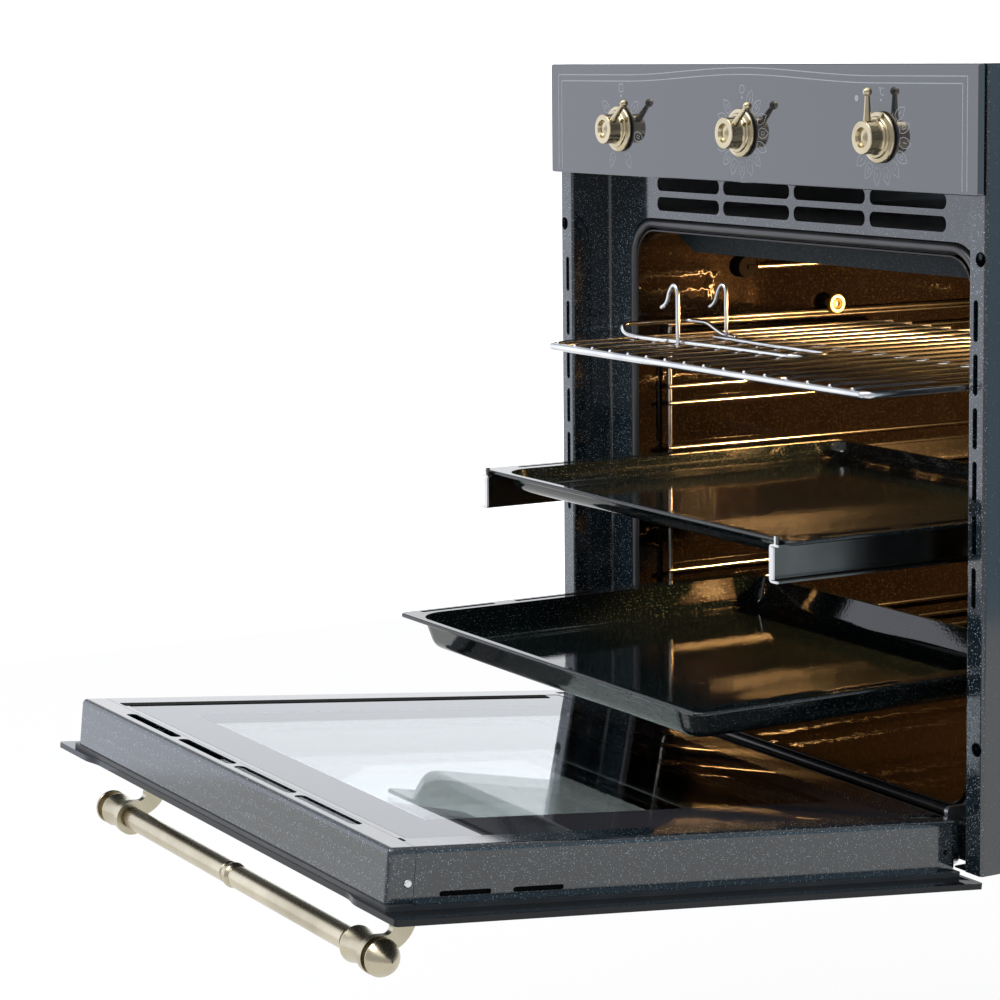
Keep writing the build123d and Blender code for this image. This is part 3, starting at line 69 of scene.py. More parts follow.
# Materials
class Graph:
    def __init__(self, name):
        self.material = bpy.data.materials.new(name)
        self.material.use_nodes = True
        self.tree = self.material.node_tree
        self.tree.nodes.clear()
        self.out = self.tree.nodes.new("ShaderNodeOutputMaterial")
        self.coords = self.tree.nodes.new("ShaderNodeTexCoord")

    def add(self, kind, inputs=None, **settings):
        node = self.tree.nodes.new("ShaderNode" + kind)
        for key, value in settings.items():
            setattr(node, key, value)
        for key, value in (inputs or {}).items():
            socket = node.inputs[key]
            if isinstance(value, bpy.types.NodeSocket):
                self.tree.links.new(value, socket)
            else:
                socket.default_value = value
        return node

    def math(self, operation, a, b=0.0):
        return self.add("Math", {0: a, 1: b}, operation=operation).outputs[0]

    def ramp(self, value, stops):
        node = self.add("ValToRGB", {"Fac": value})
        points = node.color_ramp.elements
        while len(points) < len(stops):
            points.new(0.5)
        for point, (position, color) in zip(points, stops):
            point.position = position
            point.color = (*color, 1.0)
        return node.outputs["Color"]

    def mix(self, factor, a, b):
        node = self.add("Mix", data_type="RGBA")
        for index, value in ((0, factor), (6, a), (7, b)):
            socket = node.inputs[index]
            if isinstance(value, bpy.types.NodeSocket):
                self.tree.links.new(value, socket)
            else:
                socket.default_value = value if index == 0 else (*value[:3], 1.0)
        return node.outputs[2]

    def noise(self, scale, detail=2.0, stretch=(1, 1, 1)):
        mapping = self.add("Mapping", {"Vector": self.coords.outputs["Object"], "Scale": stretch})
        inputs = {"Vector": mapping.outputs[0], "Scale": scale, "Detail": detail}
        return self.add("TexNoise", inputs).outputs["Fac"]

    def spread(self, noise, width, start):
        # start + width * noise
        node = self.add("Math", {0: noise, 1: width, 2: start}, operation="MULTIPLY_ADD")
        return node.outputs[0]

    def bump(self, height, strength, distance):
        return self.add("Bump", {"Height": height, "Strength": strength, "Distance": distance}).outputs[0]

    def surface(self, **inputs):
        names = {key: key.replace("_", " ") for key in inputs}
        shader = self.add("BsdfPrincipled", {names[key]: value for key, value in inputs.items()})
        self.tree.links.new(shader.outputs[0], self.out.inputs[0])
        return self.material


def enamel(name, look):
    # A Voronoi cell shows a fleck near its centre, where its first random value passes the share. The
    # second random value, to a power, sets how bright the fleck is
    g = Graph(name)
    flecks = g.add("TexVoronoi", {"Vector": g.coords.outputs["Object"], "Scale": look["fleckScale"]})
    parts = g.add("SeparateColor", {"Color": flecks.outputs["Color"]})
    near = g.math("LESS_THAN", flecks.outputs["Distance"], look["fleckSize"])
    chosen = g.math("GREATER_THAN", parts.outputs[0], 1 - look["fleckShare"])
    power = g.math("POWER", parts.outputs[1], 2.2)
    fleck = g.math("MULTIPLY", g.math("MULTIPLY", near, chosen), power)
    tone = g.ramp(g.noise(9.0, 4.0), [(0.3, look["dark"]), (0.7, look["light"])])
    color = g.mix(fleck, tone, look["fleck"])
    rough = g.spread(g.noise(35.0, 3.0), look["roughSpread"], look["rough"])
    peel = g.bump(g.noise(look["peelScale"], 2.0), look["peel"], 0.0006)
    return g.surface(Base_Color=color, Roughness=rough, Normal=peel, IOR=look["ior"],
                     Coat_Weight=look["coat"], Coat_Roughness=0.05, Coat_IOR=1.6)


def metal(name, look):
    g = Graph(name)
    grain = g.noise(look["grainScale"], 3.0, look.get("grain", (1, 1, 1)))
    tone = g.ramp(g.noise(look.get("patinaScale", 25.0), 4.0), [(0.3, look["dark"]), (0.72, look["light"])])
    rough = g.spread(grain, look["roughSpread"], look["rough"])
    normal = g.bump(grain, look["bump"], 0.0003)
    inputs = {"Base_Color": tone, "Metallic": 1.0, "Roughness": rough, "Normal": normal}
    if "end" in look:
        # Below the limit along its axis the metal gives way to a non-metal colour: on the probe the dark
        # colour of its boss, on the rail a pale colour that is a painted reflection of the white surround in
        # its chrome end
        axis, limit, color, shine = look["end"]
        part = g.add("SeparateXYZ", {0: g.coords.outputs["Object"]}).outputs[axis]
        inside = g.math("LESS_THAN", part, limit)
        inputs["Base_Color"] = g.mix(inside, tone, color)
        inputs["Metallic"] = g.math("SUBTRACT", 1.0, inside)
        inputs["Specular_IOR_Level"] = shine
    return g.surface(**inputs)


def plain(name, look):
    g = Graph(name)
    tone = g.ramp(g.noise(40.0, 4.0), [(0.3, look["dark"]), (0.7, look["light"])])
    normal = g.bump(g.noise(look.get("bumpScale", 300.0), 2.0), look.get("bump", 0.05), 0.0004)
    return g.surface(Base_Color=tone, Roughness=look["rough"], Normal=normal, IOR=look.get("ior", 1.5))


def glassPane(name, look):
    g = Graph(name)
    rough = g.spread(g.noise(14.0, 3.0), look["roughSpread"], look["rough"])
    return g.surface(Base_Color=(*look["color"], 1), Roughness=rough, IOR=look["ior"],
                     Transmission_Weight=look.get("clear", 0.0))


# The open door's own directions: s runs from its hinge to its handle, and h from its outer face inward
doorTurn = math.radians(84.15)
hingePoint = Vector(place(0, 6.2, 5.15))
doorAlong = Vector((0, -math.sin(doorTurn), math.cos(doorTurn)))
doorDepth = Vector((0, math.cos(doorTurn), math.sin(doorTurn)))
hingeS = -2.5
hingeH = 10.3


def onDoor(x, s, h):
    spot = hingePoint + doorAlong * ((s - hingeS) / 1000) + doorDepth * ((h - hingeH) / 1000)
    return (x / 1000, spot.y, spot.z)


# Within these limits the print's inner side takes a pale colour, painted light that stands in for the light
# reaching inside the door: across, and from low to high along s
paintedLightLimits = (246.0, 20.0, 445.0)


def sheetGlass(name, look):
    # A pane whose print leaves a window clear. The window's far edge may rise in a smooth arch. Light goes
    # straight through, and each face mirrors the share that its index gives
    g = Graph(name)
    point = g.coords.outputs["Object"]
    offset = g.add("VectorMath", {0: point, 1: hingePoint}, operation="SUBTRACT").outputs[0]
    along = g.add("VectorMath", {0: offset, 1: doorAlong}, operation="DOT_PRODUCT").outputs["Value"]
    s = g.math("ADD", g.math("MULTIPLY", along, 1000), hingeS)
    across = g.math("ABSOLUTE", g.math("MULTIPLY", g.add("SeparateXYZ", {0: point}).outputs[0], 1000))
    inside = g.math("LESS_THAN", across, look["half"])
    top = look["high"]
    if "arch" in look:
        span = g.add("MapRange", {"Value": across, "From Min": look["archFoot"], "From Max": look["archHead"],
                                  "To Min": look["high"], "To Max": look["high"] + look["arch"]},
                     interpolation_type="SMOOTHSTEP")
        top = span.outputs[0]
    window = g.math("MULTIPLY", inside, g.math("MULTIPLY", g.math("LESS_THAN", s, top),
                                               g.math("GREATER_THAN", s, look["low"])))
    smear = g.spread(g.noise(9.0, 4.0), 0.02, 0.004)
    facing = g.add("VectorMath", {0: g.add("NewGeometry").outputs["True Normal"], 1: doorDepth},
                   operation="DOT_PRODUCT").outputs["Value"]
    farLimit, lowLimit, highLimit = paintedLightLimits
    between = g.math("MULTIPLY", g.math("GREATER_THAN", s, lowLimit), g.math("LESS_THAN", s, highLimit))
    framed = g.math("MULTIPLY", g.math("LESS_THAN", across, farLimit), between)
    within = g.math("GREATER_THAN", facing, 0.5)
    paintedLightMask = g.math("MULTIPLY", within, framed)
    # A print on the pane's outer face leaves its inner face clear all over
    entry = g.math("MAXIMUM", window, within) if look.get("below") else window
    # Within the limits the inward face takes the pale inside colour, painted light for the light reaching
    # inside the door
    ink = g.add("BsdfDiffuse", {"Color": g.mix(paintedLightMask, look["ink"], look.get("paintedLightInside", look["ink"]))})
    clear = g.add("BsdfTransparent", {"Color": (*look["tint"], 1)})
    under = g.add("MixShader", {0: entry, 1: ink.outputs[0], 2: clear.outputs[0]})
    shine = g.add("BsdfGlossy", {"Color": (0.96, 0.98, 1.0, 1), "Roughness": smear})
    fresnel = g.add("Fresnel", {"IOR": look["ior"]})
    face = g.add("MixShader", {0: fresnel.outputs[0], 1: under.outputs[0], 2: shine.outputs[0]})
    leaving = g.add("NewGeometry").outputs["Backfacing"]
    # The far face mirrors as much as the near one does, because the pane doesn't bend the light
    through = g.add("BsdfTransparent", {"Color": (1, 1, 1, 1)})
    second = g.add("BsdfGlossy", {"Color": (0.76, 0.78, 0.80, 1), "Roughness": smear})
    again = g.add("Fresnel", {"IOR": 1 / look["ior"]})
    passing = g.add("MixShader", {0: again.outputs[0], 1: through.outputs[0], 2: second.outputs[0]})
    back = g.add("MixShader", {0: window, 1: ink.outputs[0], 2: passing.outputs[0]})
    sheet = g.add("MixShader", {0: leaving, 1: face.outputs[0], 2: back.outputs[0]})
    g.tree.links.new(sheet.outputs[0], g.out.inputs[0])
    return g.material


outerEnamel = {
    "dark": (0.005, 0.010, 0.015), "light": (0.009, 0.017, 0.024), "fleck": (0.36, 0.46, 0.50),
    "fleckScale": 1000.0, "fleckSize": 0.36, "fleckShare": 0.40, "rough": 0.07, "roughSpread": 0.04,
    "peelScale": 30.0, "peel": 0.010, "ior": 1.72, "coat": 0.3,
}
looks = {
    "enamel": enamel("enamel", outerEnamel),
    "cavity": enamel("cavity_enamel", dict(
        outerEnamel, dark=(0.0042, 0.0029, 0.0021), light=(0.0068, 0.0047, 0.0034), fleck=(0.05, 0.04, 0.03),
        fleckShare=0.30, rough=0.0, roughSpread=0.0, peelScale=60.0, peel=0.16, ior=1.42, coat=0.0)),
    "deflector": enamel("deflector_enamel", dict(
        outerEnamel, dark=(0.012, 0.018, 0.021), light=(0.020, 0.029, 0.033), fleck=(0.10, 0.13, 0.14),
        rough=0.40, roughSpread=0.10, ior=1.20, coat=0.0)),
    "trays": enamel("tray_enamel", dict(
        outerEnamel, dark=(0.0025, 0.0045, 0.005), light=(0.0045, 0.0075, 0.008), fleck=(0.10, 0.13, 0.13),
        fleckShare=0.35, rough=0.0, roughSpread=0.0, peelScale=420.0, peel=0.07, ior=1.55, coat=0.0)),
    "casing": metal("casing_steel", dict(dark=(0.46, 0.47, 0.48), light=(0.60, 0.61, 0.62), rough=0.30,
                                         roughSpread=0.15, grainScale=120.0, bump=0.05, patinaScale=12.0)),
    "darkSteel": metal("dark_steel", dict(dark=(0.10, 0.10, 0.11), light=(0.17, 0.17, 0.18), rough=0.34,
                                          roughSpread=0.12, grainScale=150.0, bump=0.05)),
    "chrome": metal("chrome", dict(dark=(0.62, 0.63, 0.65), light=(0.78, 0.79, 0.80), rough=0.13,
                                   roughSpread=0.08, grainScale=240.0, bump=0.04)),
    "brass": metal("antique_brass", dict(dark=(0.44, 0.39, 0.28), light=(0.62, 0.56, 0.42), rough=0.20,
                                         roughSpread=0.12, grainScale=260.0, bump=0.05, grain=(1, 8, 8))),
    "knobBrass": metal("knob_brass", dict(dark=(0.44, 0.37, 0.24), light=(0.62, 0.54, 0.37), rough=0.12,
                                          roughSpread=0.10, grainScale=300.0, bump=0.04)),
    "nutBrass": metal("nut_brass", dict(dark=(0.40, 0.29, 0.14), light=(0.58, 0.43, 0.22), rough=0.34,
                                        roughSpread=0.12, grainScale=300.0, bump=0.06)),
    "wire": metal("rack_wire", dict(dark=(0.50, 0.47, 0.42), light=(0.66, 0.63, 0.58), rough=0.15,
                                    roughSpread=0.06, grainScale=240.0, bump=0.04)),
    # The rail's pale front end is a painted reflection: its chrome end mirrors the white surround, painted
    # here as a pale non-metal colour
    "rail": metal("rail_steel", dict(dark=(0.11, 0.11, 0.10), light=(0.17, 0.165, 0.155), rough=0.20,
                                     roughSpread=0.10, grainScale=90.0, bump=0.04, grain=(1, 0.2, 6),
                                     end=(1, place(0, -126.4, 0)[1], (0.80, 0.81, 0.82), 0.5))),
    "probe": metal("probe_metal", dict(dark=(0.50, 0.47, 0.42), light=(0.66, 0.63, 0.58), rough=0.16,
                                       roughSpread=0.08, grainScale=240.0, bump=0.04,
                                       end=(1, place(0, 167.5, 0)[1], (0.010, 0.009, 0.008), 0.0))),
    "print": plain("panel_print", dict(dark=(0.30, 0.31, 0.34), light=(0.34, 0.35, 0.38), rough=0.30)),
    "element": metal("element_steel", dict(dark=(0.12, 0.10, 0.08), light=(0.26, 0.23, 0.20), rough=0.38,
                                           roughSpread=0.15, grainScale=200.0, bump=0.08)),
    "aluminium": metal("aluminium", dict(dark=(0.62, 0.62, 0.62), light=(0.74, 0.74, 0.74), rough=0.32,
                                         roughSpread=0.10, grainScale=160.0, bump=0.05)),
    "rubber": plain("seal_rubber", dict(dark=(0.016, 0.016, 0.018), light=(0.034, 0.034, 0.037), rough=0.30,
                                        ior=1.6)),
    # A very dark, rough look for the door's painted shade blocks
    "paintedShade": plain("painted_shade_black", dict(dark=(0.004, 0.004, 0.004), light=(0.006, 0.006, 0.006), rough=0.85,
                                    ior=1.2)),
    "plastic": plain("black_plastic", dict(dark=(0.018, 0.018, 0.020), light=(0.035, 0.035, 0.038),
                                           rough=0.42)),
    "wool": plain("mineral_wool", dict(dark=(0.42, 0.36, 0.24), light=(0.66, 0.60, 0.46), rough=0.95,
                                       bump=0.6, bumpScale=500.0)),
    "panelGlass": glassPane("panel_glass", dict(color=(0.022, 0.024, 0.030), rough=0.02, roughSpread=0.03,
                                                ior=2.0)),
    "outerGlass": sheetGlass("door_outer_glass", dict(
        half=188, low=110, high=360, ink=(0.010, 0.011, 0.013), tint=(0.90, 0.96, 0.94), ior=1.35)),
    # The middle pane's pale inside colour is painted light, standing in for light reaching inside the door
    "middleGlass": sheetGlass("door_middle_glass", dict(
        half=107, low=137.5, high=320, arch=48, archFoot=88, archHead=24, below=True,
        ink=(0.010, 0.011, 0.013), paintedLightInside=(0.46, 0.49, 0.50), tint=(0.95, 0.99, 0.98), ior=1.5)),
    "innerGlass": sheetGlass("door_inner_glass", dict(
        half=194, low=70, high=416, ink=(0.030, 0.030, 0.035), tint=(0.95, 0.99, 0.98), ior=1.78)),
    "clearGlass": glassPane("clear_glass", dict(color=(0.93, 0.95, 0.95), rough=0.0, roughSpread=0.02,
                                                ior=1.5, clear=1.0)),
}
print("materials ready", len(looks))

nodeLooks = {
    "enamel": ["front_frame", "door_frame", "door_top_profile"],
    "cavity": ["cavity_liner", "fan_cover"],
    "deflector": ["grill_deflector"],
    "trays": ["tray_shallow", "tray_deep"],
    "casing": ["side_panel_left", "side_panel_right", "top_panel", "base_panel", "back_panel", "fan_motor",
               "cooling_fan_housing", "hinge_receivers", "hinge_arms", "hinge_plates", "glass_holders",
               "lamp"],
    "darkSteel": ["panel_backing", "cooling_motor"],
    "chrome": ["wire_rack", "spit_cradle", "hinge_pins", "door_rivets", "handle_screws"],
    "wire": ["side_rack_left", "side_rack_right", "rail_tracks"],
    "probe": ["thermostat_probe"],
    "rail": ["rail_slides"],
    "brass": ["handle_bar", "handle_brackets", "handle_ends"],
    "knobBrass": ["knob_left", "knob_middle", "knob_right", "knob_left_pointer", "knob_middle_pointer",
                  "knob_right_pointer", "rack_thumb_nuts"],
    "element": ["grill_element", "bottom_element", "ring_element"],
    "aluminium": ["fan_impeller", "cooling_rotor"],
    "rubber": ["door_gasket"],
    "plastic": ["selector_switch", "timer", "thermostat", "terminal_block", "cable_gland", "door_spacer"],
    "wool": ["insulation"],
    "panelGlass": ["control_panel"],
    "outerGlass": ["door_outer_glass"],
    "middleGlass": ["door_middle_glass"],
    "innerGlass": ["door_inner_glass"],
    "clearGlass": ["lamp_glass"],
}
for look, names in nodeLooks.items():
    for name in names:
        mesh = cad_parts[name].data
        mesh.materials.clear()
        mesh.materials.append(looks[look])
print("looks set on the nodes")

# Wires: each follows its corner points, with every corner rounded, as a round tube with softened ends. No
# wire runs along the steady direction, so the cross product with it gives each ring its first radius
steady = np.array([0.42, 0.57, -0.71])


def rounded(points, bend, steps=7):
    # Each corner becomes a curve: (1 - u)^2 times its start, 2u(1 - u) times the corner, u^2 times its end
    points = np.asarray(points, float)
    line = [points[:1]]
    share = np.linspace(0, 1, steps)[:, None]
    for before, corner, after in zip(points[:-2], points[1:-1], points[2:]):
        reach = [min(bend, 0.48 * np.linalg.norm(end - corner)) for end in (before, after)]
        start = corner + (before - corner) / np.linalg.norm(before - corner) * reach[0]
        stop = corner + (after - corner) / np.linalg.norm(after - corner) * reach[1]
        line.append((1 - share) ** 2 * start + 2 * share * (1 - share) * corner + share ** 2 * stop)
    line.append(points[-1:])
    return np.vstack(line)


def ringQuads(rings, sides):
    # The faces between the rings of a round surface, whose points come ring by ring
    row = np.arange(rings - 1)[:, None] * sides
    step = np.arange(sides)[None, :]
    after = (step + 1) % sides
    return np.stack([row + step, row + after, row + sides + after, row + sides + step], -1).reshape(-1, 4)


def unit(rows):
    return rows / np.linalg.norm(rows, axis=-1, keepdims=True)


tubeEnds = {"inset": 0.30, "past": 0.35, "narrow": 0.72}


def tubes(name, paths, look, sides=14):
    # A ring just inside each end keeps the straight run's shading even up to the softened end
    grid = np.linspace(0, 2 * np.pi, sides, endpoint=False)
    corners, faces, first = [], [], 0
    for points, radius, bend in paths:
        line = rounded(points, bend)
        start, stop = line[:1], line[-1:]
        inset = radius * tubeEnds["inset"]
        line = np.vstack([start, start + unit(line[1:2] - start) * inset, line[1:-1],
                          stop + unit(line[-2:-1] - stop) * inset, stop])
        ahead = unit(np.gradient(line, axis=0))
        past = radius * tubeEnds["past"]
        line = np.vstack([line[:1] - ahead[:1] * past, line, line[-1:] + ahead[-1:] * past])
        ahead = np.vstack([ahead[:1], ahead, ahead[-1:]])
        size = np.full((len(line), 1, 1), radius)
        size[[0, -1]] = radius * tubeEnds["narrow"]
        across = unit(np.cross(ahead, steady))
        up = np.cross(across, ahead)
        turn = grid[None, :, None]
        ring = line[:, None] + size * (np.cos(turn) * across[:, None] + np.sin(turn) * up[:, None])
        faces += (ringQuads(len(line), sides) + first).tolist()
        faces.append((first + np.arange(sides)[::-1]).tolist())
        faces.append((first + (len(line) - 1) * sides + np.arange(sides)).tolist())
        corners.append(ring.reshape(-1, 3))
        first += len(line) * sides
    return piece(name, np.vstack(corners), faces, look)


def piece(name, corners, faces, look, smooth=True):
    # Corners come in the drawing's millimetres
    corners = (np.asarray(corners, float) - (0, 1000 * frameDepth, 1000 * screwCentre)) / 1000
    mesh = bpy.data.meshes.new(name)
    mesh.from_pydata(corners.tolist(), [], faces)
    mesh.polygons.foreach_set("use_smooth", [smooth and len(face) < 5 for face in faces])
    mesh.update()
    item = bpy.data.objects.new(name, mesh)
    bpy.context.collection.objects.link(item)
    mesh.materials.append(looks[look])
    return item


def drawingBox(node):
    # A node's lowest and highest corner in the drawing's millimetres
    return np.array(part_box(node)) * 1000 + (0, 1000 * frameDepth, 1000 * screwCentre)


# The chrome side racks: a rounded loop, two guide wires to each level and four feet at the wall
sideRack = {
    "uprightRadius": 2.5, "bend": 9.0, "wireRadius": 2.0, "wireBend": 1.0, "sink": 0.6, "inset": 4.0,
    "overhang": 3.5, "levelFirst": 75.7, "levelPitch": 55.2, "levels": 6, "guideRise": 15.0,
    "footRadius": 2.1, "footLow": 45.0, "footHigh": 30.0, "wallGap": 0.7,
}


def buildSideRack(side, node):
    r = sideRack
    low, high = drawingBox(node)
    foot, top = low[2] + r["uprightRadius"], high[2] - r["uprightRadius"]
    front, rear = low[1] + r["inset"], high[1] - r["inset"]
    inner, outer = sorted((abs(low[0]), abs(high[0])))
    upright = side * (inner + 2 * r["wireRadius"] - r["sink"] + r["uprightRadius"])
    wire = side * (inner + r["wireRadius"])
    middle = (foot + top) / 2
    loop = [(upright, front, middle), (upright, front, foot), (upright, rear, foot), (upright, rear, top),
            (upright, front, top), (upright, front, middle)]
    paths = [(loop, r["uprightRadius"], r["bend"])]
    for level in range(r["levels"]):
        z = r["levelFirst"] + level * r["levelPitch"] - r["wireRadius"]
        for height in (z, z + r["guideRise"]):
            ends = [(wire, front - r["overhang"], height), (wire, rear + r["overhang"], height)]
            paths.append((ends, r["wireRadius"], r["wireBend"]))
    for y in (front, rear):
        for z in (foot + r["footLow"], top - r["footHigh"]):
            ends = [(upright, y, z), (side * (outer - r["wallGap"]), y, z)]
            paths.append((ends, r["footRadius"], r["wireBend"]))
    rack = tubes(node + "_wires", paths, "wire")
    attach(rack, "cabinet")
    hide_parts(node)


buildSideRack(-1, "side_rack_left")
buildSideRack(1, "side_rack_right")

# The wire rack: a bar all round with a notch at each side, wires on top and one cross bar below them
wireRack = {
    "half": 226.3, "barRadius": 3.25, "bend": 7.0, "barZ": 353.4, "frontY": -54.0, "rearY": 303.0,
    "notchY": 223.0, "notchIn": 7.0, "notchLength": 12.0, "notchDrop": 5.0,
    "wires": 16, "pitch": 28.2, "wireRadius": 1.6, "wireBend": 3.0, "sink": 0.7, "overhang": 1.2,
    "slope": 6.0, "slopeDrop": 0.9, "crossRadius": 2.0, "crossBend": 1.0, "crossDrop": 1.4,
}


def buildWireRack():
    r = wireRack
    z = r["barZ"]
    half, front, rear, notch = r["half"], r["frontY"], r["rearY"], r["notchY"]
    right = [(half, notch, z), (half - r["notchIn"], notch + r["notchLength"] / 2, z - r["notchDrop"]),
             (half, notch + r["notchLength"], z), (half, rear, z)]
    loop = [(0, front, z), (half, front, z), *right, *[(-x, y, h) for x, y, h in reversed(right)],
            (-half, front, z), (0, front, z)]
    paths = [(loop, r["barRadius"], r["bend"])]
    top = z + r["barRadius"] + r["wireRadius"] - r["sink"]
    start, stop = front - r["overhang"], rear + r["overhang"]
    for x in (np.arange(r["wires"]) - (r["wires"] - 1) / 2) * r["pitch"]:
        wire = [(x, start, top - r["slopeDrop"]), (x, front + r["slope"], top), (x, stop, top)]
        paths.append((wire, r["wireRadius"], r["wireBend"]))
    low = top - r["wireRadius"] - r["crossDrop"]
    cross = [(-half, (front + rear) / 2, low), (half, (front + rear) / 2, low)]
    paths.append((cross, r["crossRadius"], r["crossBend"]))
    rack = tubes("wire_rack_wires", paths, "chrome")
    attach(rack, "rack")
    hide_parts("wire_rack")
    return top


# The thumb nuts: a profile from the face to the wall, as X, radius and whether that ring is knurled
thumbNut = {"faceX": 225.0, "wallX": 240.2, "radius": 9.0, "knurls": 30, "knurl": 0.25, "hole": 2.2,
            "stem": 4.0, "forward": 4.0, "pointsToKnurl": 4}


def buildNuts():
    r = thumbNut
    y, z = drawingBox("rack_thumb_nuts").mean(axis=0)[1:] - (r["forward"], 0)
    sides = r["knurls"] * r["pointsToKnurl"]
    turn = np.linspace(0, 2 * np.pi, sides, endpoint=False)
    wave = r["knurl"] * np.cos(r["knurls"] * turn)
    face, wall, big, hole, stem = r["faceX"], r["wallX"], r["radius"], r["hole"], r["stem"]
    outline = [(face + 2.2, 0.02, 0), (face + 2.2, hole, 0), (face + 0.3, hole + 0.3, 0),
               (face + 0.9, hole + 2.2, 0), (face + 0.4, hole + 3.0, 0), (face, hole + 3.4, 0),
               (face, big - 0.9, 0), (face + 0.4, big - 0.3, 1), (face + 0.9, big, 1), (face + 3.8, big, 1),
               (face + 4.3, big - 0.5, 1), (face + 4.3, stem, 0), (wall, stem, 0)]
    corners, faces = [], []
    for side in (-1, 1):
        faces += (ringQuads(len(outline), sides) + len(corners) * sides).tolist()
        corners += [np.stack([np.full(sides, side * x), y + (radius + wave * knurl) * np.cos(turn),
                              z + (radius + wave * knurl) * np.sin(turn)], 1) for x, radius, knurl in outline]
    nuts = piece("thumb_nuts_knurled", np.vstack(corners), faces, "nutBrass", False)
    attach(nuts, "cabinet")
    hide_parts("rack_thumb_nuts")


buildNuts()

# The spit cradle: a flat loop on the rack, a lifted loop at its left and two hooked posts, each given by its
# X and Y, the rise of its hook and the height of its foot
spitCradle = {"radius": 2.0, "rightX": 33.0, "frontY": 20.0, "rearY": 57.0, "leftX": -203.0, "lift": 9.5,
              "rest": 1.6, "bend": 13.0, "liftedBend": 7.0, "hookBend": 5.0, "thinner": 0.2,
              "posts": ((-121.0, 9.0, 46.0, -4.0), (-134.0, 67.0, 43.0, 0.0))}


def buildCradle(rackTop):
    r = spitCradle
    z = rackTop + r["rest"] + r["radius"]
    front, rear, left, right, high = r["frontY"], r["rearY"], r["leftX"], r["rightX"], z + r["lift"]
    flat = [(-165, front - 9, z), (-60, front - 3, z), (right, front, z), (right, rear, z), (-60, rear, z),
            (-146, rear + 6, z)]
    lifted = [(-128, rear + 16, z), (-150, rear + 17, z + 1), (-176, rear + 18, high),
              (left, rear + 17, high), (left - 2, front - 14, high), (left + 6, front - 17, z + 2),
              (-178, front - 13, z), (-140, front - 10, z)]
    paths = [(flat, r["radius"], r["bend"]), (lifted, r["radius"], r["liftedBend"])]
    for x, y, rise, foot in r["posts"]:
        hook = [(x, y, z + foot), (x, y, z + rise - 1), (x - 6, y, z + rise + 3.5), (x - 13, y, z + rise - 4),
                (x - 16.5, y, z + rise - 14), (x - 25, y, z + rise - 18)]
        paths.append((hook, r["radius"] - r["thinner"], r["hookBend"]))
    cradle = tubes("spit_cradle_wires", paths, "chrome")
    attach(cradle, "rack")
    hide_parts("spit_cradle")


buildCradle(buildWireRack())
print("wire pieces built")

# Printed lines on the control panel: ribbons a hair in front of the glass. Two borders run up the sides and
# over the top, where the middle rises, and a ring of petals turns about each knob
panelPrint = {
    "frontY": -8.49, "line": 0.7, "fine": 0.5, "finest": 0.45, "axisZ": 540.4, "pitch": 183.0,
    "borders": ((279.5, 503.5, 580.7), (285.0, 503.5, 586.0)), "crestHalf": 175.0, "crestRise": 6.0,
    "petal": ((-2.6, 23.4), (-4.1, 27.5), (-3.6, 32.0), (0, 37.0), (3.6, 32.0), (4.1, 27.5), (2.6, 23.4),
              (-2.6, 23.4)),
    "bar": ((-1.1, 27.2), (1.1, 27.2), (1.1, 31.2), (-1.1, 31.2), (-1.1, 27.2)),
    "stroke": ((0, 27.0), (0, 29.2), (0, 31.4)),
    "square": ((-3.2, -3.2), (3.2, -3.2), (3.2, 3.2), (-3.2, 3.2), (-3.2, -3.2)), "squareAt": (-181.6, 575.0),
    "angles": ((51, 103, 154, -51, -103, -154), [22.5 * k for k in range(1, 15)],
               [52 + 22.7 * k for k in range(9)]),
    "rings": (((0.2, 575.1), 3.3, 0, 360, 0.6), ((181.3, 576.6), 1.0, 0, 360, 0.5),
              ((184.9, 574.3), 2.7, 50, 310, 0.6)),
    "dots": ((-181.6, 568.2, 1.1), (0.2, 568.3, 1.1), (183.0, 568.1, 1.1), (152.6, 569.2, 2.4)),
}


def ribbons(name, lines):
    corners, faces, first = [], [], 0
    for points, width in lines:
        points = np.asarray(points, float)
        ahead = unit(np.gradient(points, axis=0))
        aside = np.stack([-ahead[:, 1], ahead[:, 0]], 1) * width / 2
        edge = np.concatenate([points + aside, points - aside])
        corners.append(np.stack([edge[:, 0], np.full(len(edge), panelPrint["frontY"]), edge[:, 1]], 1))
        n = len(points)
        step = np.arange(n - 1)
        faces += (np.stack([step, step + 1, step + 1 + n, step + n], 1) + first).tolist()
        first += 2 * n
    return piece(name, np.vstack(corners), faces, "print", False)


def turned(points, angle, centre):
    # Turned clockwise from the top about a centre
    spin = math.radians(angle)
    x, z = np.asarray(points, float).T
    return np.stack([centre[0] + x * math.cos(spin) + z * math.sin(spin),
                     centre[1] - x * math.sin(spin) + z * math.cos(spin)], 1)


def ringLine(centre, radius, start=0.0, stop=360.0, count=28):
    angle = np.radians(np.linspace(start, stop, count))
    return np.stack([centre[0] + radius * np.cos(angle), centre[1] + radius * np.sin(angle)], 1)


def densify(points, count):
    points = np.asarray(points, float)
    share = np.linspace(0, 1, count, endpoint=False)[:, None]
    spans = [a + (b - a) * share for a, b in zip(points[:-1], points[1:])]
    return np.vstack([*spans, points[-1:]])


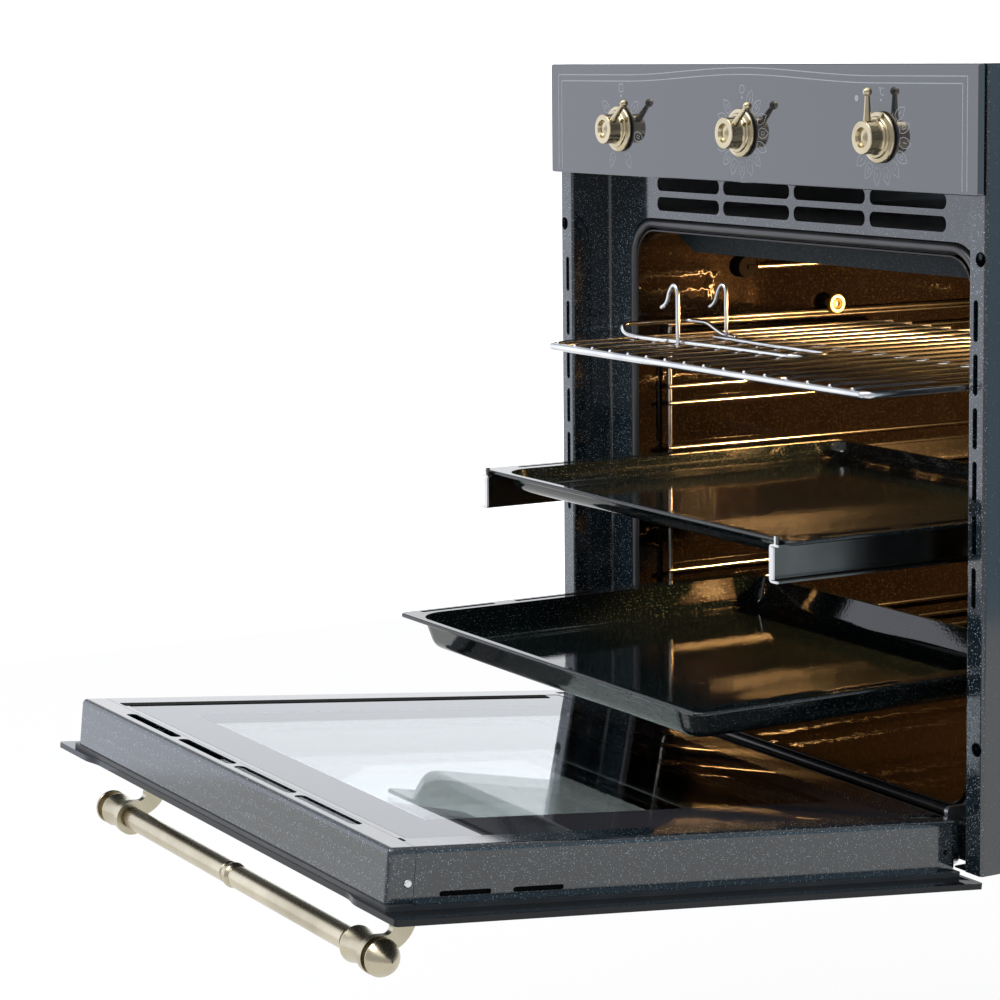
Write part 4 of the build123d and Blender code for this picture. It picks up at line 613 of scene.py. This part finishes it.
def buildPanelPrint():
    p = panelPrint
    lines = []
    for x, low, high in p["borders"]:
        # The top edge rises by 3u^2 - 2u^3, where u grows from 0 at the crest's foot to 1 in the middle
        across = np.linspace(-x, x, 161)
        rise = np.clip((p["crestHalf"] - np.abs(across)) / p["crestHalf"], 0, 1)
        top = high + p["crestRise"] * (rise * rise * (3 - 2 * rise))
        lines.append((np.stack([across, top], 1), p["line"]))
        for side in (-1, 1):
            lines.append((np.stack([np.full(9, side * x), np.linspace(low, high, 9)], 1), p["line"]))
    petal = densify(p["petal"], 3)
    small = [p["stroke"], densify(p["bar"], 2)]
    for column, angles in enumerate(p["angles"]):
        axis = ((column - 1) * p["pitch"], p["axisZ"])
        for k, angle in enumerate(angles):
            lines.append((turned(petal, angle, axis), p["fine"]))
            lines.append((turned(small[k % 2], angle, axis), p["finest"]))
    lines.append((densify(p["square"], 3) + p["squareAt"], 0.6))
    for centre, radius, start, stop, width in p["rings"]:
        lines.append((ringLine(centre, radius, start, stop), width))
    for x, z, size in p["dots"]:
        lines.append((ringLine((x, z), size / 2), size * 0.98))
    marks = ribbons("panel_print", lines)
    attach(marks, "cabinet")


buildPanelPrint()
print("panel print built")

# Painted shade on the door: thin dark blocks stand in for the shade in the gap along the inner glass's far
# edge, inside the side slots and in a small opening at the corner
doorShade = {
    "glassTop": 40.77, "shadeGapX": (-245.5, -234.0), "shadeGapS": (60.0, 461.0), "shadeGapH": (0.03, 0.5),
    "slotShadeX": (267.9, 268.5), "slotShadeS": (335.0, 448.0), "slotShadeH": (5.9, 12.1),
    "frameTop": 41.07, "cornerX": (243.5, 251.0), "cornerS": (461.4, 463.6), "cornerH": (0.05, 0.2),
}


def doorBlock(xs, spans, hs):
    spots = np.array([onDoor(x, s, h) for x in xs for s in spans for h in hs])
    return (1000 * spots + (0, 1000 * frameDepth, 1000 * screwCentre)).tolist()


def buildDoorShade():
    d = doorShade
    shadeGapH = [d["glassTop"] + rise for rise in d["shadeGapH"]]
    cornerH = [d["frameTop"] + rise for rise in d["cornerH"]]
    blocks = [doorBlock(d["shadeGapX"], d["shadeGapS"], shadeGapH),
              doorBlock(d["slotShadeX"], d["slotShadeS"], d["slotShadeH"]),
              doorBlock([-x for x in reversed(d["slotShadeX"])], d["slotShadeS"], d["slotShadeH"]),
              doorBlock(d["cornerX"], d["cornerS"], cornerH)]
    sides = [(0, 1, 3, 2), (4, 6, 7, 5), (0, 4, 5, 1), (2, 3, 7, 6), (0, 2, 6, 4), (1, 5, 7, 3)]
    corners = [corner for block in blocks for corner in block]
    faces = [tuple(8 * k + i for i in side) for k in range(len(blocks)) for side in sides]
    # These blocks are painted shade, not real parts
    shadeBlocks = piece("door_painted_shade", corners, faces, "paintedShade", False)
    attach(shadeBlocks, "door")


buildDoorShade()
print("door trim built")

# Studio: a pale floor, a grey surround with soft patches of light and one of shade, a key lamp and the
# oven's own lamp. A patch is a direction, the cosines where it starts and is full, a strength and a colour
studio = {
    "surround": (0.55, 0.55, 0.5665),
    "patches": [
        ((-0.86, -0.50, -0.05), 0.78, 0.93, 0.88, (0.92, 0.98, 1.14)),
        ((0.85, 0.50, 0.00), 0.80, 0.95, 1.00, (-0.13, 0.03, 0.14)),
        ((0.10, -0.30, 0.95), 0.70, 0.92, 1.20, (1.0, 1.0, 1.0)),
        ((-0.86, 0.50, 0.02), 0.88, 0.955, 0.95, (0.98, 1.0, 1.03)),
    ],
    "floorDrop": 0.35, "floorSize": 5.0, "floorShade": 0.86, "whiteShare": 0.86,
    "keySpot": (-0.6, -2.2, 2.4), "keyTarget": (0, -0.2, 0), "keySize": (1.6, 1.2), "keyWatts": 38.0,
    "lampSpot": place(198, 445, 340), "lampWatts": 36.0, "lampRadius": 0.018, "lampColor": (1.0, 0.55, 0.20),
}


def buildWorld():
    world = bpy.data.worlds.new("studio")
    bpy.context.scene.world = world
    world.use_nodes = True
    tree = world.node_tree
    tree.nodes.clear()
    out = tree.nodes.new("ShaderNodeOutputWorld")
    coords = tree.nodes.new("ShaderNodeTexCoord")
    base = tree.nodes.new("ShaderNodeRGB")
    base.outputs[0].default_value = (*studio["surround"], 1)
    total = base.outputs[0]
    for direction, low, high, strength, color in studio["patches"]:
        dot = tree.nodes.new("ShaderNodeVectorMath")
        dot.operation = "DOT_PRODUCT"
        tree.links.new(coords.outputs["Generated"], dot.inputs[0])
        dot.inputs[1].default_value = Vector(direction).normalized()
        span = tree.nodes.new("ShaderNodeMapRange")
        span.interpolation_type = "SMOOTHSTEP"
        tree.links.new(dot.outputs["Value"], span.inputs["Value"])
        span.inputs["From Min"].default_value = low
        span.inputs["From Max"].default_value = high
        scale = tree.nodes.new("ShaderNodeVectorMath")
        scale.operation = "SCALE"
        scale.inputs[0].default_value = [strength * c for c in color]
        tree.links.new(span.outputs[0], scale.inputs["Scale"])
        add = tree.nodes.new("ShaderNodeVectorMath")
        add.operation = "ADD"
        tree.links.new(total, add.inputs[0])
        tree.links.new(scale.outputs[0], add.inputs[1])
        total = add.outputs[0]
    lit = tree.nodes.new("ShaderNodeBackground")
    tree.links.new(total, lit.inputs["Color"])
    tree.links.new(lit.outputs[0], out.inputs[0])


def buildFloor():
    low = cadBox[0][2] - studio["floorDrop"]
    half = studio["floorSize"] / 2
    mesh = bpy.data.meshes.new("floor")
    square = [(-half, -half, low), (half, -half, low), (half, half, low), (-half, half, low)]
    mesh.from_pydata(square, [], [(0, 1, 2, 3)])
    floor = bpy.data.objects.new("floor", mesh)
    bpy.context.collection.objects.link(floor)
    g = Graph("floor")
    shade = studio["floorShade"]
    diffuse = g.add("BsdfDiffuse", {"Color": (shade, shade, shade, 1)})
    white = g.add("Emission", {"Color": (1, 1, 1, 1), "Strength": 1.0})
    path = g.add("LightPath")
    seen = g.math("MAXIMUM", path.outputs["Is Camera Ray"], path.outputs["Is Transmission Ray"])
    seen = g.math("MAXIMUM", seen, path.outputs["Is Glossy Ray"])
    share = g.math("MULTIPLY", seen, studio["whiteShare"])
    mixed = g.add("MixShader", {0: share, 1: diffuse.outputs[0], 2: white.outputs[0]})
    g.tree.links.new(mixed.outputs[0], g.out.inputs[0])
    mesh.materials.append(g.material)


def linkLamp(name, data):
    lamp = bpy.data.objects.new(name, data)
    bpy.context.collection.objects.link(lamp)
    return lamp


def keyLamp():
    data = bpy.data.lights.new("key", "AREA")
    data.shape = "RECTANGLE"
    data.size, data.size_y = studio["keySize"]
    data.energy = studio["keyWatts"]
    aim = Vector(studio["keyTarget"]) - Vector(studio["keySpot"])
    turn = aim.to_track_quat("-Z", "Y").to_matrix().to_4x4()
    linkLamp("key", data).matrix_world = Matrix.Translation(studio["keySpot"]) @ turn


def ovenLamp():
    # The lamp lights the cavity, and the polished walls mirror the wires but not the lamp itself
    data = bpy.data.lights.new("oven_lamp", "POINT")
    data.energy = studio["lampWatts"]
    data.shadow_soft_size = studio["lampRadius"]
    data.cycles.use_multiple_importance_sampling = False
    data.color = studio["lampColor"]
    linkLamp("oven_lamp", data).location = studio["lampSpot"]


buildWorld()
buildFloor()
keyLamp()
ovenLamp()
print("studio ready")

# The camera, solved from the front's known width and height and the edges seen in the picture
view = {
    "spot": (1.9480, -1.3633, 0.3299), "forward": (-0.85597, 0.50447, -0.11325), "roll": -0.48,
    "lens": 105.73, "shift": (-0.04275, -0.1115), "sensor": 36.0, "nearest": 0.05,
}


def buildCamera():
    forward = Vector(view["forward"]).normalized()
    flat = forward.cross(Vector((0, 0, 1))).normalized()
    rise = flat.cross(forward)
    turn = math.radians(view["roll"])
    right = flat * math.cos(turn) + rise * math.sin(turn)
    up = rise * math.cos(turn) - flat * math.sin(turn)
    data = bpy.data.cameras.new("camera")
    data.lens = view["lens"]
    data.sensor_width = view["sensor"]
    data.sensor_fit = "HORIZONTAL"
    data.shift_x, data.shift_y = view["shift"]
    data.clip_start = view["nearest"]
    camera = bpy.data.objects.new("camera", data)
    bpy.context.collection.objects.link(camera)
    rotation = Matrix((right, up, -forward)).transposed()
    camera.matrix_world = Matrix.Translation(view["spot"]) @ rotation.to_4x4()
    bpy.context.scene.camera = camera


buildCamera()
bpy.context.scene.view_settings.view_transform = "Standard"
print("camera ready")
